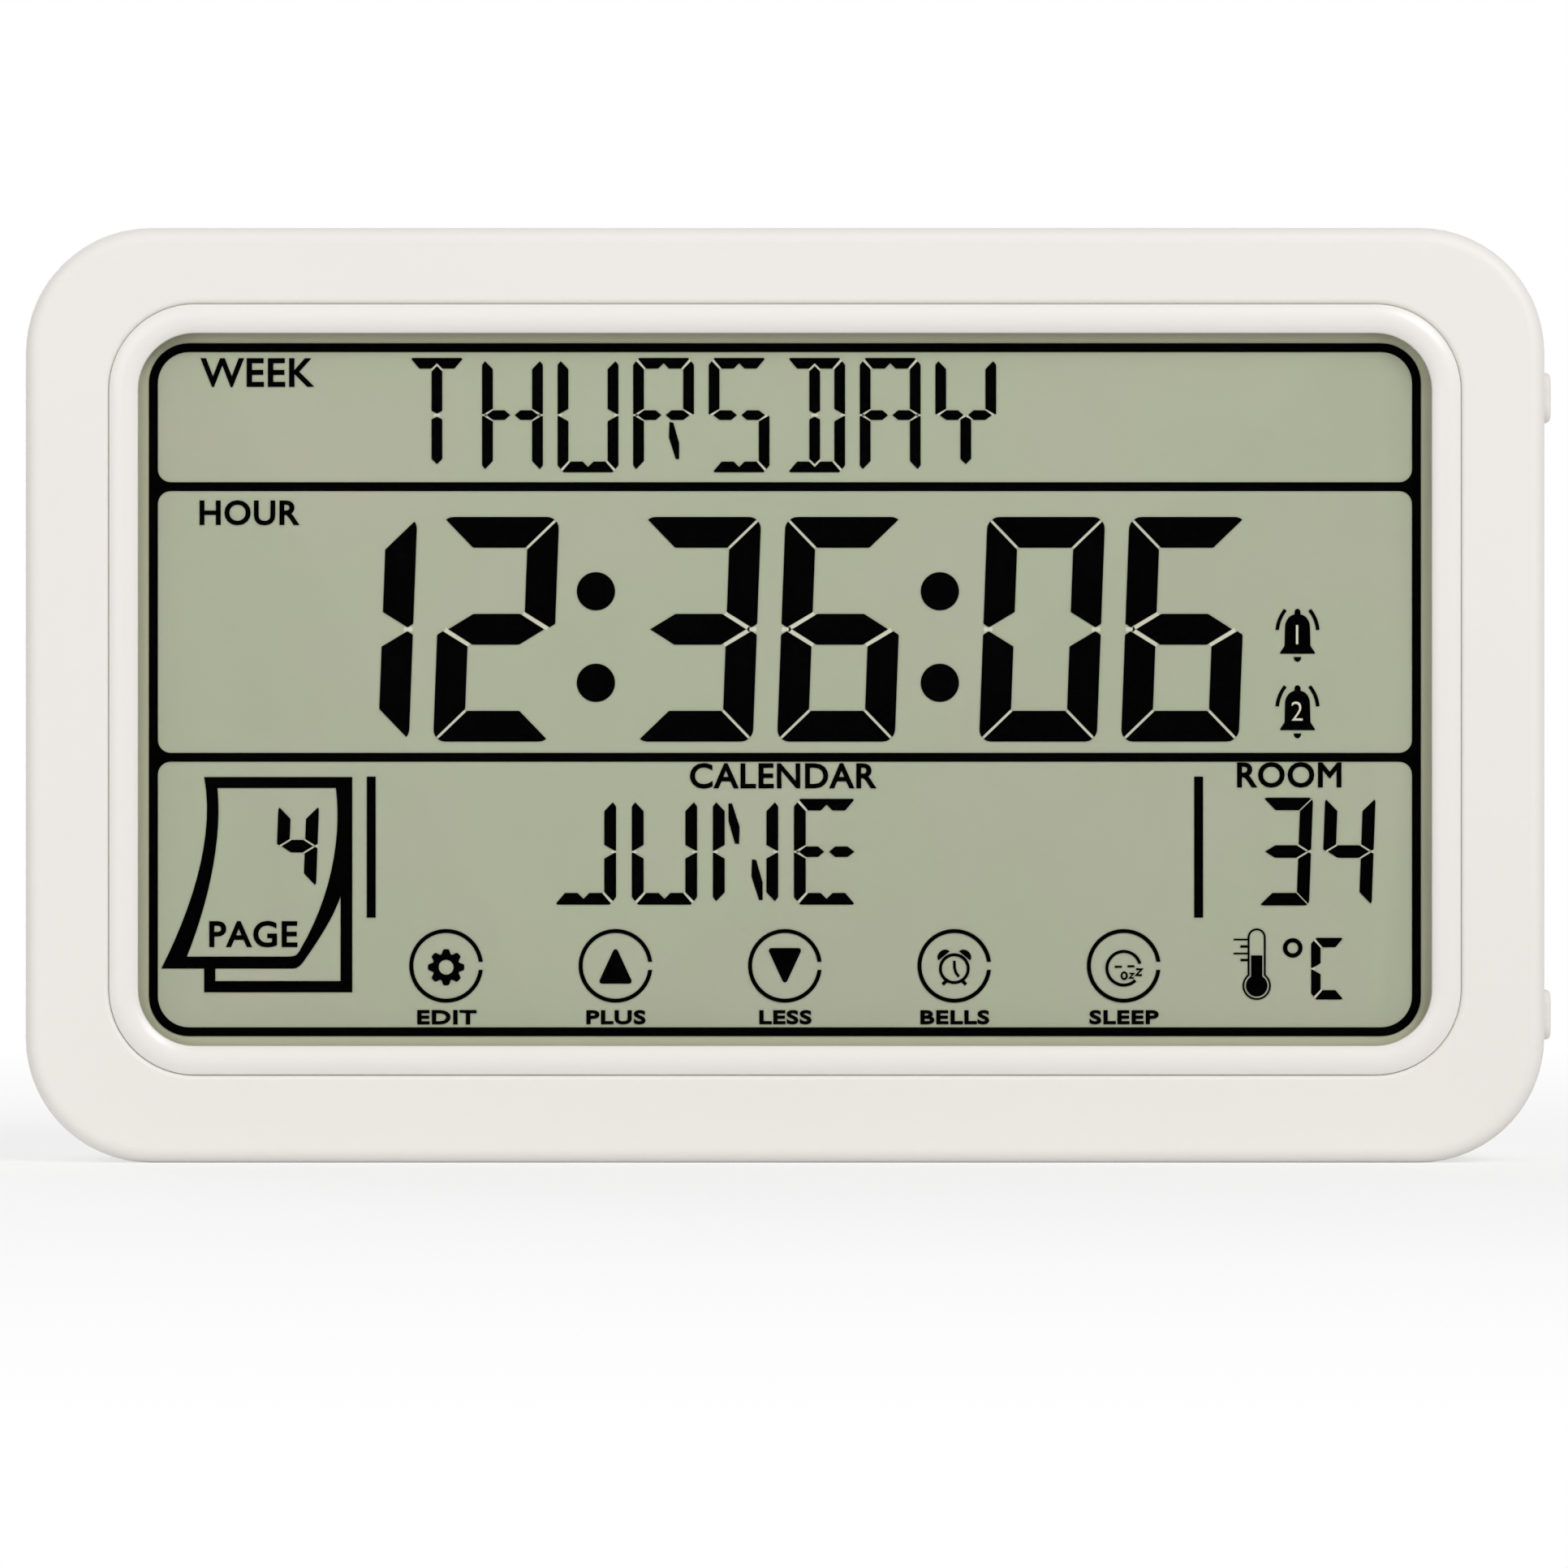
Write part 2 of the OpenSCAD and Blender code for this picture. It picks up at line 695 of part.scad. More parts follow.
// Frame line with its three panels left open
module frame_lines() {
  inner_w = frame_w - 2 * frame_line;
  inner_h = frame_h - 2 * frame_line;
  half = frame_h / 2 - frame_line / 2;
  edges = [half, upper_line_z, lower_line_z, -half];
  difference() {
    rounded(frame_w, frame_h, frame_r);
    intersection() {
      rounded(inner_w, inner_h, frame_r - frame_line);
      for (i = [0:2]) {
        panel_h = edges[i] - edges[i + 1] - frame_line;
        translate([0, (edges[i] + edges[i + 1]) / 2]) rounded(inner_w, panel_h, panel_r);
      }
    }
  }
}

// Touch key ring with a short break at its right
module key_ring() {
  difference() {
    circle(d = key_d);
    circle(d = key_d - 2 * key_line);
    translate([0, -key_line]) square([key_d, 2 * key_line]);
  }
}

module lcd_segments() {
  hours = [1, 2];
  minutes = [3, 6];
  seconds = [0, 6];
  pairs = [hours, minutes, seconds];
  temperature = [3, 4];
  time_pitch = time_w + time_gap;
  pair_pitch = time_pitch + time_w + pair_gap;
  temp_gap = 1.3;
  temp_x = frame_w / 2 - temp_side;
  temp_z = lower_line_z - temp_drop - temp_h;
  date_x = date_side - frame_w / 2;
  date_z = lower_line_z - date_drop - date_h;
  bar_x = frame_w / 2 - bar_side;
  bar_z = lower_line_z - bar_drop - bar_l;
  key_z = key_rise - frame_h / 2;
  colon_gap = 4.65;
  colon_low = 6.3;
  colon_high = 16.1;
  color(lcd_black) about_view() along_y(y_lcd - segment_t, y_lcd) {
    frame_lines();
    for (p = [0:2], i = [0:1]) {
      figure(pairs[p][i], time_x + p * pair_pitch + i * time_pitch, time_z, time_w, time_h, time_stroke);
    }
    for (p = [1:2], z = [colon_low, colon_high]) {
      translate([time_x + p * pair_pitch - colon_gap, time_z + z]) circle(d = colon_d);
    }
    for (i = [0:1]) {
      figure(temperature[i], temp_x + i * (temp_w + temp_gap), temp_z, temp_w, temp_h, small_stroke);
    }
    figure(4, date_x, date_z, date_w, date_h, small_stroke);
    for (x = [-bar_x, bar_x]) {
      translate([x - frame_line / 2, bar_z]) square([frame_line, bar_l]);
    }
    for (i = [-2:2]) translate([i * key_pitch, key_z]) key_ring();
  }
}

module lcd_front_polariser() {
  rim = 0.9;
  color(lcd_green) about_view() along_y(y_lcd, y_glass)
    square([view_w + 2 * rim, view_h + 2 * rim], center = true);
}

module lcd_front_glass() {
  color(clear_grey) about_view() along_y(y_glass, y_rear_glass)
    square([glass_w, glass_h], center = true);
}

module lcd_rear_glass() {
  color(clear_grey) about_view() along_y(y_rear_glass, y_reflector)
    square([glass_w, rear_glass_h], center = true);
}

module lcd_reflector() {
  color("silver") about_view() along_y(y_reflector, y_guide)
    square([glass_w, rear_glass_h], center = true);
}

module backlight_guide() {
  color("honeydew") about_view()
    block(-glass_w / 2 + led_room, glass_w / 2, y_guide, y_board, -rear_glass_h / 2, rear_glass_h / 2);
}

// Lamp strip with three lamps against the left end of the light guide
module backlight_leds() {
  strip_t = 0.8;
  strip_half = 25;
  lamp_pitch = 20;
  lamp_half = 1.5;
  x0 = -glass_w / 2;
  color("ivory") about_view() {
    block(x0, x0 + strip_t, y_guide, y_board, -strip_half, strip_half);
    for (z = [-lamp_pitch, 0, lamp_pitch]) {
      block(x0 + strip_t, x0 + led_room, y_guide, y_board - sink, z - lamp_half, z + lamp_half);
    }
  }
}

// Moulded frame between the trim ring and the board
module lcd_holder() {
  tail_half = tail_w / 2 + sink;
  color("#d8d6d0") difference() {
    about_view() along_y(y_lcd, y_board) difference() {
      square([holder_w, holder_h], center = true);
      square([glass_w + 2 * holder_fit, glass_h + 2 * holder_fit], center = true);
    }
    at_corners() rod_y(0, 0, boss_r + boss_gap, y_lcd - over, y_board + over);
    block(-tail_x - tail_half, -tail_x + tail_half, y_lcd - over, y_board + over,
          glass_foot - holder_out - over, glass_foot);
  }
}

module zebra_strips() {
  strip_z = glass_h / 2 - ledge / 2;
  strip_half = glass_w / 2 - zebra_inset;
  color("#3a3a3c") about_view() for (z = [-strip_z, strip_z]) {
    block(-strip_half, strip_half, y_rear_glass, y_board, z - zebra_w / 2, z + zebra_w / 2);
  }
}

module main_board() {
  color(board_green) difference() {
    about_view() along_y(y_board, y_parts) square([board_w, holder_h], center = true);
    at_corners() rod_y(0, 0, rear_post_r + boss_gap, y_board - over, y_parts + over);
    at_posts() rod_y(0, 0, board_screw_r + screw_fit, y_board - over, y_parts + over);
  }
}

// Screw along Y with its head towards the back and a cross recess
module cross_screw(r, l, head_r, head_h) {
  slot_w = 0.26 * head_r;
  slot_l = 1.2 * head_r;
  difference() {
    union() {
      rod_y(0, 0, r, -l, sink);
      rod_y(0, 0, head_r, 0, head_h);
    }
    block(-slot_l / 2, slot_l / 2, head_h / 2, head_h + over, -slot_w / 2, slot_w / 2);
    block(-slot_w / 2, slot_w / 2, head_h / 2, head_h + over, -slot_l / 2, slot_l / 2);
  }
}

module board_screws() {
  head_r = 1.9;
  head_h = 1.2;
  color(bright_metal) at_posts() translate([0, y_parts, 0])
    cross_screw(board_screw_r, board_screw_l, head_r, head_h);
}

// Round drop of potting resin over the controller chip
module controller_blob() {
  blob_x = -6;
  blob_drop = 19.7;
  blob_r = 8;
  blob_h = 1.8;
  dome_r = (blob_r * blob_r + blob_h * blob_h) / (2 * blob_h);
  color(switch_black) translate([blob_x, y_parts, board_top - blob_drop]) rotate([-90, 0, 0])
    rotate_extrude() intersection() {
      translate([0, blob_h - dome_r]) circle(dome_r, $fn = 360);
      square([blob_r + over, blob_h + over]);
    }
}

module crystal() {
  can_w = 10;
  can_h = 4;
  can_t = 3.2;
  can_x = 18;
  can_drop = 17.7;
  can_r = 1.9;
  color(bright_metal) translate([can_x, 0, board_top - can_drop]) along_y(y_parts, y_parts + can_t)
    rounded(can_w, can_h, can_r);
}

module chip_capacitors() {
  chip_l = 2;
  chip_w = 1.25;
  chip_t = 1;
  row_x = -26;
  row_drop = 31.7;
  row_z = board_top - row_drop;
  row_pitch = 4;
  color("tan") for (i = [0:5]) {
    block(row_x + i * row_pitch, row_x + i * row_pitch + chip_w, y_parts, y_parts + chip_t,
          row_z, row_z + chip_l);
  }
}

module buzzer() {
  color(switch_black) difference() {
    rod_y(buzzer_x, buzzer_z, buzzer_r, y_parts, y_parts + buzzer_h);
    rod_y(buzzer_x, buzzer_z, sound_r, y_parts + buzzer_h / 2, y_parts + buzzer_h + over);
  }
}

// Bead on two wire legs
module thermistor() {
  leg_r = 0.25;
  leg_gap = 1.4;
  color("darkred") {
    for (x = [-leg_gap / 2, leg_gap / 2]) rod_y(bead_x + x, bead_z, leg_r, y_parts, y_parts + bead_h);
    translate([bead_x, y_parts + bead_h, bead_z]) sphere(bead_r);
  }
}

module side_switches() {
  color(switch_black) for (z = [upper_button_z, lower_button_z]) difference() {
    block(switch_x - switch_l, switch_x, y_parts, y_parts + switch_h, z - switch_w / 2, z + switch_w / 2);
    rod_x(button_y, z, plunger_r + plunger_fit, switch_x - plunger_in - button_travel - plunger_fit,
          switch_x + over);
  }
}

module plunger(z) {
  color("ivory") rod_x(button_y, z, plunger_r, switch_x - plunger_in, switch_x + plunger_out);
}

module upper_plunger() {
  plunger(upper_button_z);
}

module lower_plunger() {
  plunger(lower_button_z);
}

// Button with a rounded cap, a retaining flange inside the wall and a stem to its switch
module side_button(z) {
  cap_edge = 0.5;
  stem_r = 1.3;
  flange_y = wall + flange_gap;
  stem_y = side_x - switch_x - plunger_out;
  flange_w = button_d + 2 * button_flange;
  flange_h = button_h + 2 * button_flange;
  color(abs_white) translate([side_x, button_y, z]) rotate([0, 0, 90]) {
    difference() {
      along_y(-button_proud, flange_y + sink) rounded(button_d, button_h, button_r);
      translate([0, -button_proud, 0]) around(button_d, button_h, button_r) edge_cut(cap_edge);
    }
    along_y(flange_y, flange_y + button_flange_t) rounded(flange_w, flange_h, button_r);
    rod_y(0, 0, stem_r, flange_y, stem_y);
  }
}

module upper_button() {
  side_button(upper_button_z);
}

module lower_button() {
  side_button(lower_button_z);
}

// Solid stock inside the rear shell for the stand's recess, the bay and the screws
module rear_stock() {
  y_joint = y_back - wall / 2;
  recess_out = recess_half + recess_wall;
  recess_low = stand_foot - stand_fit - recess_floor;
  tray_half = bay_h / 2 + tray_wall;
  block(-recess_out, recess_out, y_recess - recess_floor, y_joint, recess_low, heel_top + recess_floor);
  block(-recess_out, recess_out, y_heel - recess_floor, y_joint,
        hinge_z - stand_t, heel_top + recess_floor);
  block(-side_x + wall / 2, bay_in_x + tray_wall, y_tray_floor, y_joint,
        bay_z - tray_half, bay_z + tray_half);
  block(-side_x + wall / 2, door_x + door_fit + tray_wall, y_door - rail_t, y_joint,
        bay_z - rail_half, bay_z + rail_half);
  at_corners() rod_y(0, 0, rear_post_r, y_seam, y_joint);
}

// Lips above the bottom wall and below the top wall that locate the front shell
module seam_lips() {
  lip_half = side_x - corner_r - boss_r;
  lip_in = wall + lip_fit;
  root_l = 2;
  for (s = [-1, 1]) about_case() {
    z0 = case_mid - lip_in - lip_t;
    mirror([0, 0, s < 0 ? 1 : 0]) {
      block(-lip_half, lip_half, y_seam - lip_l, y_seam + root_l, z0, z0 + lip_t);
      block(-lip_half, lip_half, y_seam + seam_bevel, y_seam + root_l, z0, case_mid - wall + sink);
    }
  }
}

// Recess with its rounded edge, heel pocket, hinge holes and finger notch of the stand
module stand_cuts() {
  hole_x = stand_w / 2 + trunnion_l + stand_fit;
  recess_w = 2 * recess_half;
  recess_foot = stand_foot - stand_fit;
  recess_h = heel_top - recess_foot;
  recess_r = stand_r + stand_fit;
  translate([0, 0, recess_foot + recess_h / 2]) {
    along_y(y_recess, y_back + over) rounded(recess_w, recess_h, recess_r);
    translate([0, y_back, 0]) around(recess_w, recess_h, recess_r)
      mirror([1, 0]) mirror([0, 1]) edge_cut(recess_edge_r);
  }
  block(-recess_half, recess_half, y_heel, y_recess + sink, hinge_z - stand_t / 2, heel_top);
  rod_x(hinge_y, hinge_z, trunnion_r + trunnion_fit, -hole_x, hole_x);
  translate([0, 0, stand_foot]) along_y(y_recess, y_back + over) rounded(notch_w, 2 * notch_l, notch_r);
}

// Battery pocket, door opening with its tongue grooves, and slots for the contact tabs
module bay_cuts() {
  slot_half = tab_w / 2 + door_fit;
  open_half = door_half;
  groove_half = open_half + tongue_w + door_fit;
  block(bay_out_x, bay_in_x, y_tray, y_back + over, bay_z - bay_h / 2, bay_z + bay_h / 2);
  block(-side_x - over, door_x + door_fit, y_door - door_fit, y_back + over,
        bay_z - open_half, bay_z + open_half);
  block(-side_x - over, door_x + door_fit, y_door - door_fit, y_door + tongue_t + door_fit,
        bay_z - groove_half, bay_z + groove_half);
  for (z = [lower_cell_z, upper_cell_z]) {
    block(bay_in_x - contact_t - door_fit, bay_in_x, y_tray_floor - over, y_tray + over,
          z - slot_half, z + slot_half);
  }
}

// Keyhole, vent slots, sound holes, screw holes and button holes
module rear_holes() {
  y_in = y_back - wall - over;
  y_out = y_back + over;
  rod_y(0, hang_z, hang_r, y_in, y_out);
  rod_y(0, hang_z + hang_rise, hang_slot_w / 2, y_in, y_out);
  block(-hang_slot_w / 2, hang_slot_w / 2, y_in, y_out, hang_z, hang_z + hang_rise);
  for (i = [0:vent_count - 1]) {
    translate([bead_x, 0, bead_z + (i - (vent_count - 1) / 2) * vent_pitch])
      along_y(y_in, y_out) slot(vent_l, vent_w);
  }
  rod_y(buzzer_x, buzzer_z, sound_r, y_in, y_out);
  for (a = [0:60:300]) {
    rod_y(buzzer_x + sound_ring_r * cos(a), buzzer_z + sound_ring_r * sin(a), sound_r, y_in, y_out);
  }
  at_corners() {
    rod_y(0, 0, counterbore_r, y_seat, y_out);
    rod_y(0, 0, screw_r + screw_fit, y_seam - over, y_seat + over);
  }
  for (z = [upper_button_z, lower_button_z]) {
    translate([0, button_y, z]) along_x(inner_x - over, side_x + over)
      rounded(button_d + 2 * button_fit, button_h + 2 * button_fit, button_r + button_fit);
  }
}

module rear_case() {
  color(abs_white) difference() {
    union() {
      difference() {
        rear_form();
        hollow(y_seam - over, y_back - wall);
      }
      intersection() {
        rear_stock();
        rear_form();
      }
      seam_lips();
    }
    stand_cuts();
    bay_cuts();
    rear_holes();
  }
}

module case_screws() {
  color(bright_metal) at_corners() translate([0, y_seat, 0])
    cross_screw(screw_r, screw_l, screw_head_r, screw_head_h);
}

// Door cut from the shell's own outer form, with a tongue along each long side
module battery_door() {
  plate_half = door_half - door_fit;
  tongue_half = door_half + tongue_w;
  grip_l = 12;
  grip_w = 0.9;
  grip_pitch = 2;
  grip_deep = 0.5;
  grip_inset = 8;
  grip_x = door_x - grip_inset;
  color(abs_white) difference() {
    intersection() {
      rear_form();
      union() {
        block(-side_x - over, door_x, y_door, y_back + over, bay_z - plate_half, bay_z + plate_half);
        block(-side_x - over, door_x, y_door, y_door + tongue_t, bay_z - tongue_half, bay_z + tongue_half);
      }
    }
    for (i = [0:grip_count - 1]) {
      x0 = grip_x - i * grip_pitch;
      block(x0 - grip_w, x0, y_back - grip_deep, y_back + over, bay_z - grip_l / 2, bay_z + grip_l / 2);
    }
  }
}

// Cell along X with its flat end at x0 and its nub towards the given side
module cell(x0, z, side) {
  body_l = cell_l - nub_l;
  color("#4c6b8a") translate([x0, y_cell, z]) rotate([0, 90 * side, 0]) {
    cylinder(d = cell_d, h = body_l);
    cylinder(r = nub_r, h = cell_l);
  }
}

module upper_cell() {
  cell(bay_in_x - contact_t - spring_l, upper_cell_z, -1);
}

module lower_cell() {
  cell(bay_out_x + contact_t + spring_l, lower_cell_z, 1);
}

// Plate at the bay's inner end with a tab that reaches the board
module inner_contact(z) {
  x0 = bay_in_x - contact_t;
  half = plate_side / 2;
  block(x0, bay_in_x, y_tray, y_cell + half, z - half, z + half);
  block(x0, bay_in_x, y_parts, y_tray + sink, z - tab_w / 2, z + tab_w / 2);
}

module contact_plus() {
  color(bright_metal) inner_contact(lower_cell_z);
}

module contact_minus() {
  color(bright_metal) inner_contact(upper_cell_z);
}

// Plate at the bay's outer end that joins the two cells
module contact_bridge() {
  half = plate_side / 2;
  color(bright_metal) block(bay_out_x, bay_out_x + contact_t, y_tray, y_cell + half,
                            lower_cell_z - half, upper_cell_z + half);
}

// Conical coil swept along X as one tube with flat ends
spring_turns = 3.5;
spring_steps = 36;
spring_sides = 6;
spring_wire_r = 0.3;
spring_base_r = 3.6;
spring_tip_r = 2;

function coil_ring(t, length) =
  let (
    reach = spring_wire_r * 1.2,
    a = 360 * spring_turns * t,
    r = spring_base_r + (spring_tip_r - spring_base_r) * t,
    x = reach + (length - 2 * reach) * t)
  [for (k = [0:spring_sides - 1])
    let (b = 360 * k / spring_sides, q = r + spring_wire_r * cos(b))
    [x + spring_wire_r * sin(b), q * cos(a), q * sin(a)]];

module coil(length) {
  rings = [for (i = [0:spring_steps]) coil_ring(i / spring_steps, length)];
  points = [for (ring = rings, p = ring) p];
  n = spring_sides;
  last = spring_steps * n;
  walls = [for (i = [0:spring_steps - 1], k = [0:n - 1])
    let (a = i * n + k, b = i * n + (k + 1) % n)
    [[a, b, a + n], [b, b + n, a + n]]];
  faces = concat(
    [for (pair = walls, f = pair) f],
    [for (k = [1:n - 2]) [0, k + 1, k]],
    [for (k = [1:n - 2]) [last, last + k, last + k + 1]]);
  polyhedron(points, faces);
}

module battery_springs() {
  color(bright_metal) {
    translate([bay_out_x + contact_t, y_cell, lower_cell_z]) coil(spring_l);
    translate([bay_in_x - contact_t, y_cell, upper_cell_z]) mirror([1, 0, 0]) coil(spring_l);
  }
}

// Leg with a heel that stops against its pocket when the stand is open
module stand() {
  pull_w = 14;
  pull_h = 4;
  stand_h = stand_l + heel_l;
  reach = stand_w / 2 + trunnion_l;
  y_inner = y_stand - stand_t;
  color(abs_white) difference() {
    union() {
      translate([0, 0, stand_foot + stand_h / 2]) difference() {
        along_y(y_inner, y_stand) rounded(stand_w, stand_h, stand_r);
        translate([0, y_stand, 0]) around(stand_w, stand_h, stand_r)
          mirror([0, 1]) edge_cut(stand_edge_r);
      }
      rod_x(hinge_y, hinge_z, trunnion_r, -reach, reach);
    }
    block(-pull_w / 2, pull_w / 2, y_inner - over, y_inner + stand_t / 3,
          stand_foot - over, stand_foot + pull_h);
  }
}

front_case();
window_ring();
display_window();
touch_film();
lcd_segments();
lcd_front_polariser();
lcd_front_glass();
lcd_rear_glass();
lcd_reflector();
backlight_guide();
backlight_leds();
lcd_holder();
zebra_strips();
main_board();
board_screws();
controller_blob();
crystal();
chip_capacitors();
buzzer();
thermistor();
side_switches();
upper_plunger();
lower_plunger();
upper_button();
lower_button();
rear_case();
case_screws();
battery_door();
upper_cell();
lower_cell();
contact_plus();
contact_minus();
contact_bridge();
battery_springs();
stand();
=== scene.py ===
# Desk weather clock in white plastic, dressed piece by piece in the order it is put together.
# Lengths are in metres in the frame's own axes: X right, Y to the back, Z up from the base.
import math

import bmesh
import bpy
from mathutils import Matrix, Vector
from mathutils.geometry import interpolate_bezier, tessellate_polygon


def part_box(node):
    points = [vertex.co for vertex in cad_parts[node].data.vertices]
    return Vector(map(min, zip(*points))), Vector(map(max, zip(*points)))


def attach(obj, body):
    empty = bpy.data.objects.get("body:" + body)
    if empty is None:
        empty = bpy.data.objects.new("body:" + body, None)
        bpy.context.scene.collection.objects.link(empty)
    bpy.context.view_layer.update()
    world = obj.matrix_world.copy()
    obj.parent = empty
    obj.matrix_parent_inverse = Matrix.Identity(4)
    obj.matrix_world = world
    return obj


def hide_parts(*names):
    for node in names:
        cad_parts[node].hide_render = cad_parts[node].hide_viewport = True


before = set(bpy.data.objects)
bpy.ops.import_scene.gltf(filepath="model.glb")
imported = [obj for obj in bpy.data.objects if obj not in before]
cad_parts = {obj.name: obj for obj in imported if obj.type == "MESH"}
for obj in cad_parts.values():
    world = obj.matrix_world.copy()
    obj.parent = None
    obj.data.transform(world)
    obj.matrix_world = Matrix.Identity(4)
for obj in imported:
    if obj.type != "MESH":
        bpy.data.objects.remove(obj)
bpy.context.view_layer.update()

# Front shell: the bezel and its side walls, injection moulded in one shot of white ABS.
# A spark-eroded mould leaves a satin skin, and the corner bosses take the case screws.
mm = 0.001


def srgb(code):
    """Linear colour of an sRGB hex code."""
    parts = [int(code[i:i + 2], 16) / 255 for i in (1, 3, 5)]
    linear = [c / 12.92 if c <= 0.04045 else ((c + 0.055) / 1.055) ** 2.4 for c in parts]
    return (*linear, 1.0)


def feed(node, inputs):
    """Set a node's inputs to values, or link them from sockets or from the first output of nodes."""
    for name, value in inputs.items():
        if isinstance(value, bpy.types.Node):
            value = value.outputs[0]
        if isinstance(value, bpy.types.NodeSocket):
            node.id_data.links.new(value, node.inputs[name])
        else:
            node.inputs[name].default_value = value


def add_node(tree, kind, inputs=None, **settings):
    """Node of one kind with its settings and inputs."""
    node = tree.nodes.new(kind)
    for name, value in settings.items():
        setattr(node, name, value)
    feed(node, inputs or {})
    return node


def new_material(name, inputs):
    """Material with a Principled shader and its plain inputs set; gives its tree and shader too."""
    material = bpy.data.materials.new(name)
    material.use_nodes = True
    shader = material.node_tree.nodes["Principled BSDF"]
    feed(shader, inputs)
    return material, material.node_tree, shader


def dress(material, *nodes):
    """Give a material to every slot of the named CAD nodes."""
    for node in nodes:
        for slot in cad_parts[node].material_slots:
            slot.material = material


def two_tone(tree, shader, share, first, second):
    """Colour that turns from one hex code to another as a share goes from 0 to 1."""
    mix = add_node(tree, "ShaderNodeMix", {0: share, 6: srgb(first), 7: srgb(second)}, data_type="RGBA")
    feed(shader, {"Base Color": mix.outputs[2]})


def skin(tree, shader, share, colours, rough, height, strength, depth):
    """Colour and gloss that follow one pattern, and a bump that follows another."""
    two_tone(tree, shader, share, *colours)
    gloss = add_node(tree, "ShaderNodeMapRange", {
        "Value": share, "From Min": 0.3, "From Max": 0.7, "To Min": rough[0], "To Max": rough[1]})
    bump = add_node(tree, "ShaderNodeBump", {"Height": height, "Strength": strength, "Distance": depth})
    feed(shader, {"Roughness": gloss, "Normal": bump})


def mottled(name, inputs, colours, patch, rough, grain, depth):
    """Material with patchy colour, uneven gloss and a fine bump, each with its size in metres."""
    material, tree, shader = new_material(name, inputs)
    place = add_node(tree, "ShaderNodeTexCoord").outputs["Object"]
    patches = add_node(tree, "ShaderNodeTexNoise", {"Vector": place, "Scale": 1 / patch, "Detail": 2.0})
    pits = add_node(tree, "ShaderNodeTexNoise", {"Vector": place, "Scale": 1 / grain, "Detail": 3.0})
    skin(tree, shader, patches, colours, rough, height=pits, strength=0.5, depth=depth)
    return material


# Satin ABS: a warm white that scatters evenly, with a broad soft sheen instead of reflections.
# The real grain is about 0.1 mm; it is drawn at 0.7 mm so that it shows.
satin_abs = mottled("satin_white_abs", {"IOR": 1.53}, ("#ebe7e2", "#e7e3de"),
                    patch=60 * mm, rough=(0.5, 0.6), grain=0.7 * mm, depth=0.02 * mm)
dress(satin_abs, "front_case")

# Trim ring: a crowned bead round the window, moulded in the same white but in a polished
# mould, pressed into the bezel from behind so that a hairline gap shows all round.


def finish_piece(name, mesh, material):
    """Piece of the case from a bmesh, with outward faces and its material."""
    bmesh.ops.recalc_face_normals(mesh, faces=mesh.faces)
    data = bpy.data.meshes.new(name)
    mesh.to_mesh(data)
    mesh.free()
    data.materials.append(material)
    piece = bpy.data.objects.new(name, data)
    bpy.context.scene.collection.objects.link(piece)
    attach(piece, "case")
    return piece


def ring_wall(mesh, lower, upper):
    """Faces between two rings with the same number of points."""
    count = len(lower)
    for i in range(count):
        j = (i + 1) % count
        mesh.faces.new((lower[i], lower[j], upper[j], upper[i]))


def bend(first, first_handle, last_handle, last, steps=14):
    """Points of one smooth bend between two ends and their handles."""
    knots = [Vector((*p, 0)) for p in (first, first_handle, last_handle, last)]
    return [(p.x, p.y) for p in interpolate_bezier(*knots, steps)]


def soften(mesh, sharp_turn=math.radians(35)):
    """Smooth shading over a mesh, apart from the edges that turn more than an angle."""
    bmesh.ops.recalc_face_normals(mesh, faces=mesh.faces)
    for face in mesh.faces:
        face.smooth = True
    for edge in mesh.edges:
        edge.smooth = edge.calc_face_angle(0.0) < sharp_turn


# Polished ABS: the same white with a tighter, brighter highlight along the crown.
polished_abs = mottled("polished_white_abs", {"IOR": 1.53}, ("#ebe8e4", "#e8e5e1"),
                       patch=45 * mm, rough=(0.29, 0.34), grain=1.5 * mm, depth=0.01 * mm)

ring_low, ring_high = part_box("window_ring")
pane_low, pane_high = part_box("display_window")
view_z = (pane_low.z + pane_high.z) / 2
bead_w, lip_w, seat_w = 3.08 * mm, 0.72 * mm, 1.5 * mm
crown_h, edge_r = 0.5 * mm, 0.16 * mm
bezel_t = 1.8 * mm
lip_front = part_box("front_case")[0].y + bezel_t
crown_r = (bead_w ** 2 / 4 + crown_h ** 2) / (2 * crown_h)


def crown_y(out):
    """Depth of the crown at a distance out from the window's edge."""
    return ring_low.y + crown_r - math.sqrt(crown_r ** 2 - (out - bead_w / 2) ** 2)


# Section from the pane's seat over the crown to the lip, as distance out and depth
edge_y = crown_y(0.0)
crown_steps, edge_steps = 12, 6
crown_span = bead_w - 2 * edge_r
crown_outs = [edge_r + crown_span * i / crown_steps for i in range(1, crown_steps)]
ring_section = (
    [(seat_w, ring_high.y), (seat_w, pane_high.y), (seat_w, pane_low.y), (0.0, pane_low.y)]
    + bend((0.0, edge_y + edge_r), (0.0, edge_y), (0.0, edge_y), (edge_r, crown_y(edge_r)), edge_steps)
    + [(out, crown_y(out)) for out in crown_outs]
    + bend((bead_w - edge_r, crown_y(edge_r)), (bead_w, edge_y), (bead_w, edge_y),
           (bead_w, edge_y + edge_r), edge_steps)
    + [(bead_w, lip_front), (bead_w + lip_w, lip_front), (bead_w + lip_w, pane_high.y),
       (bead_w + lip_w, ring_high.y)])

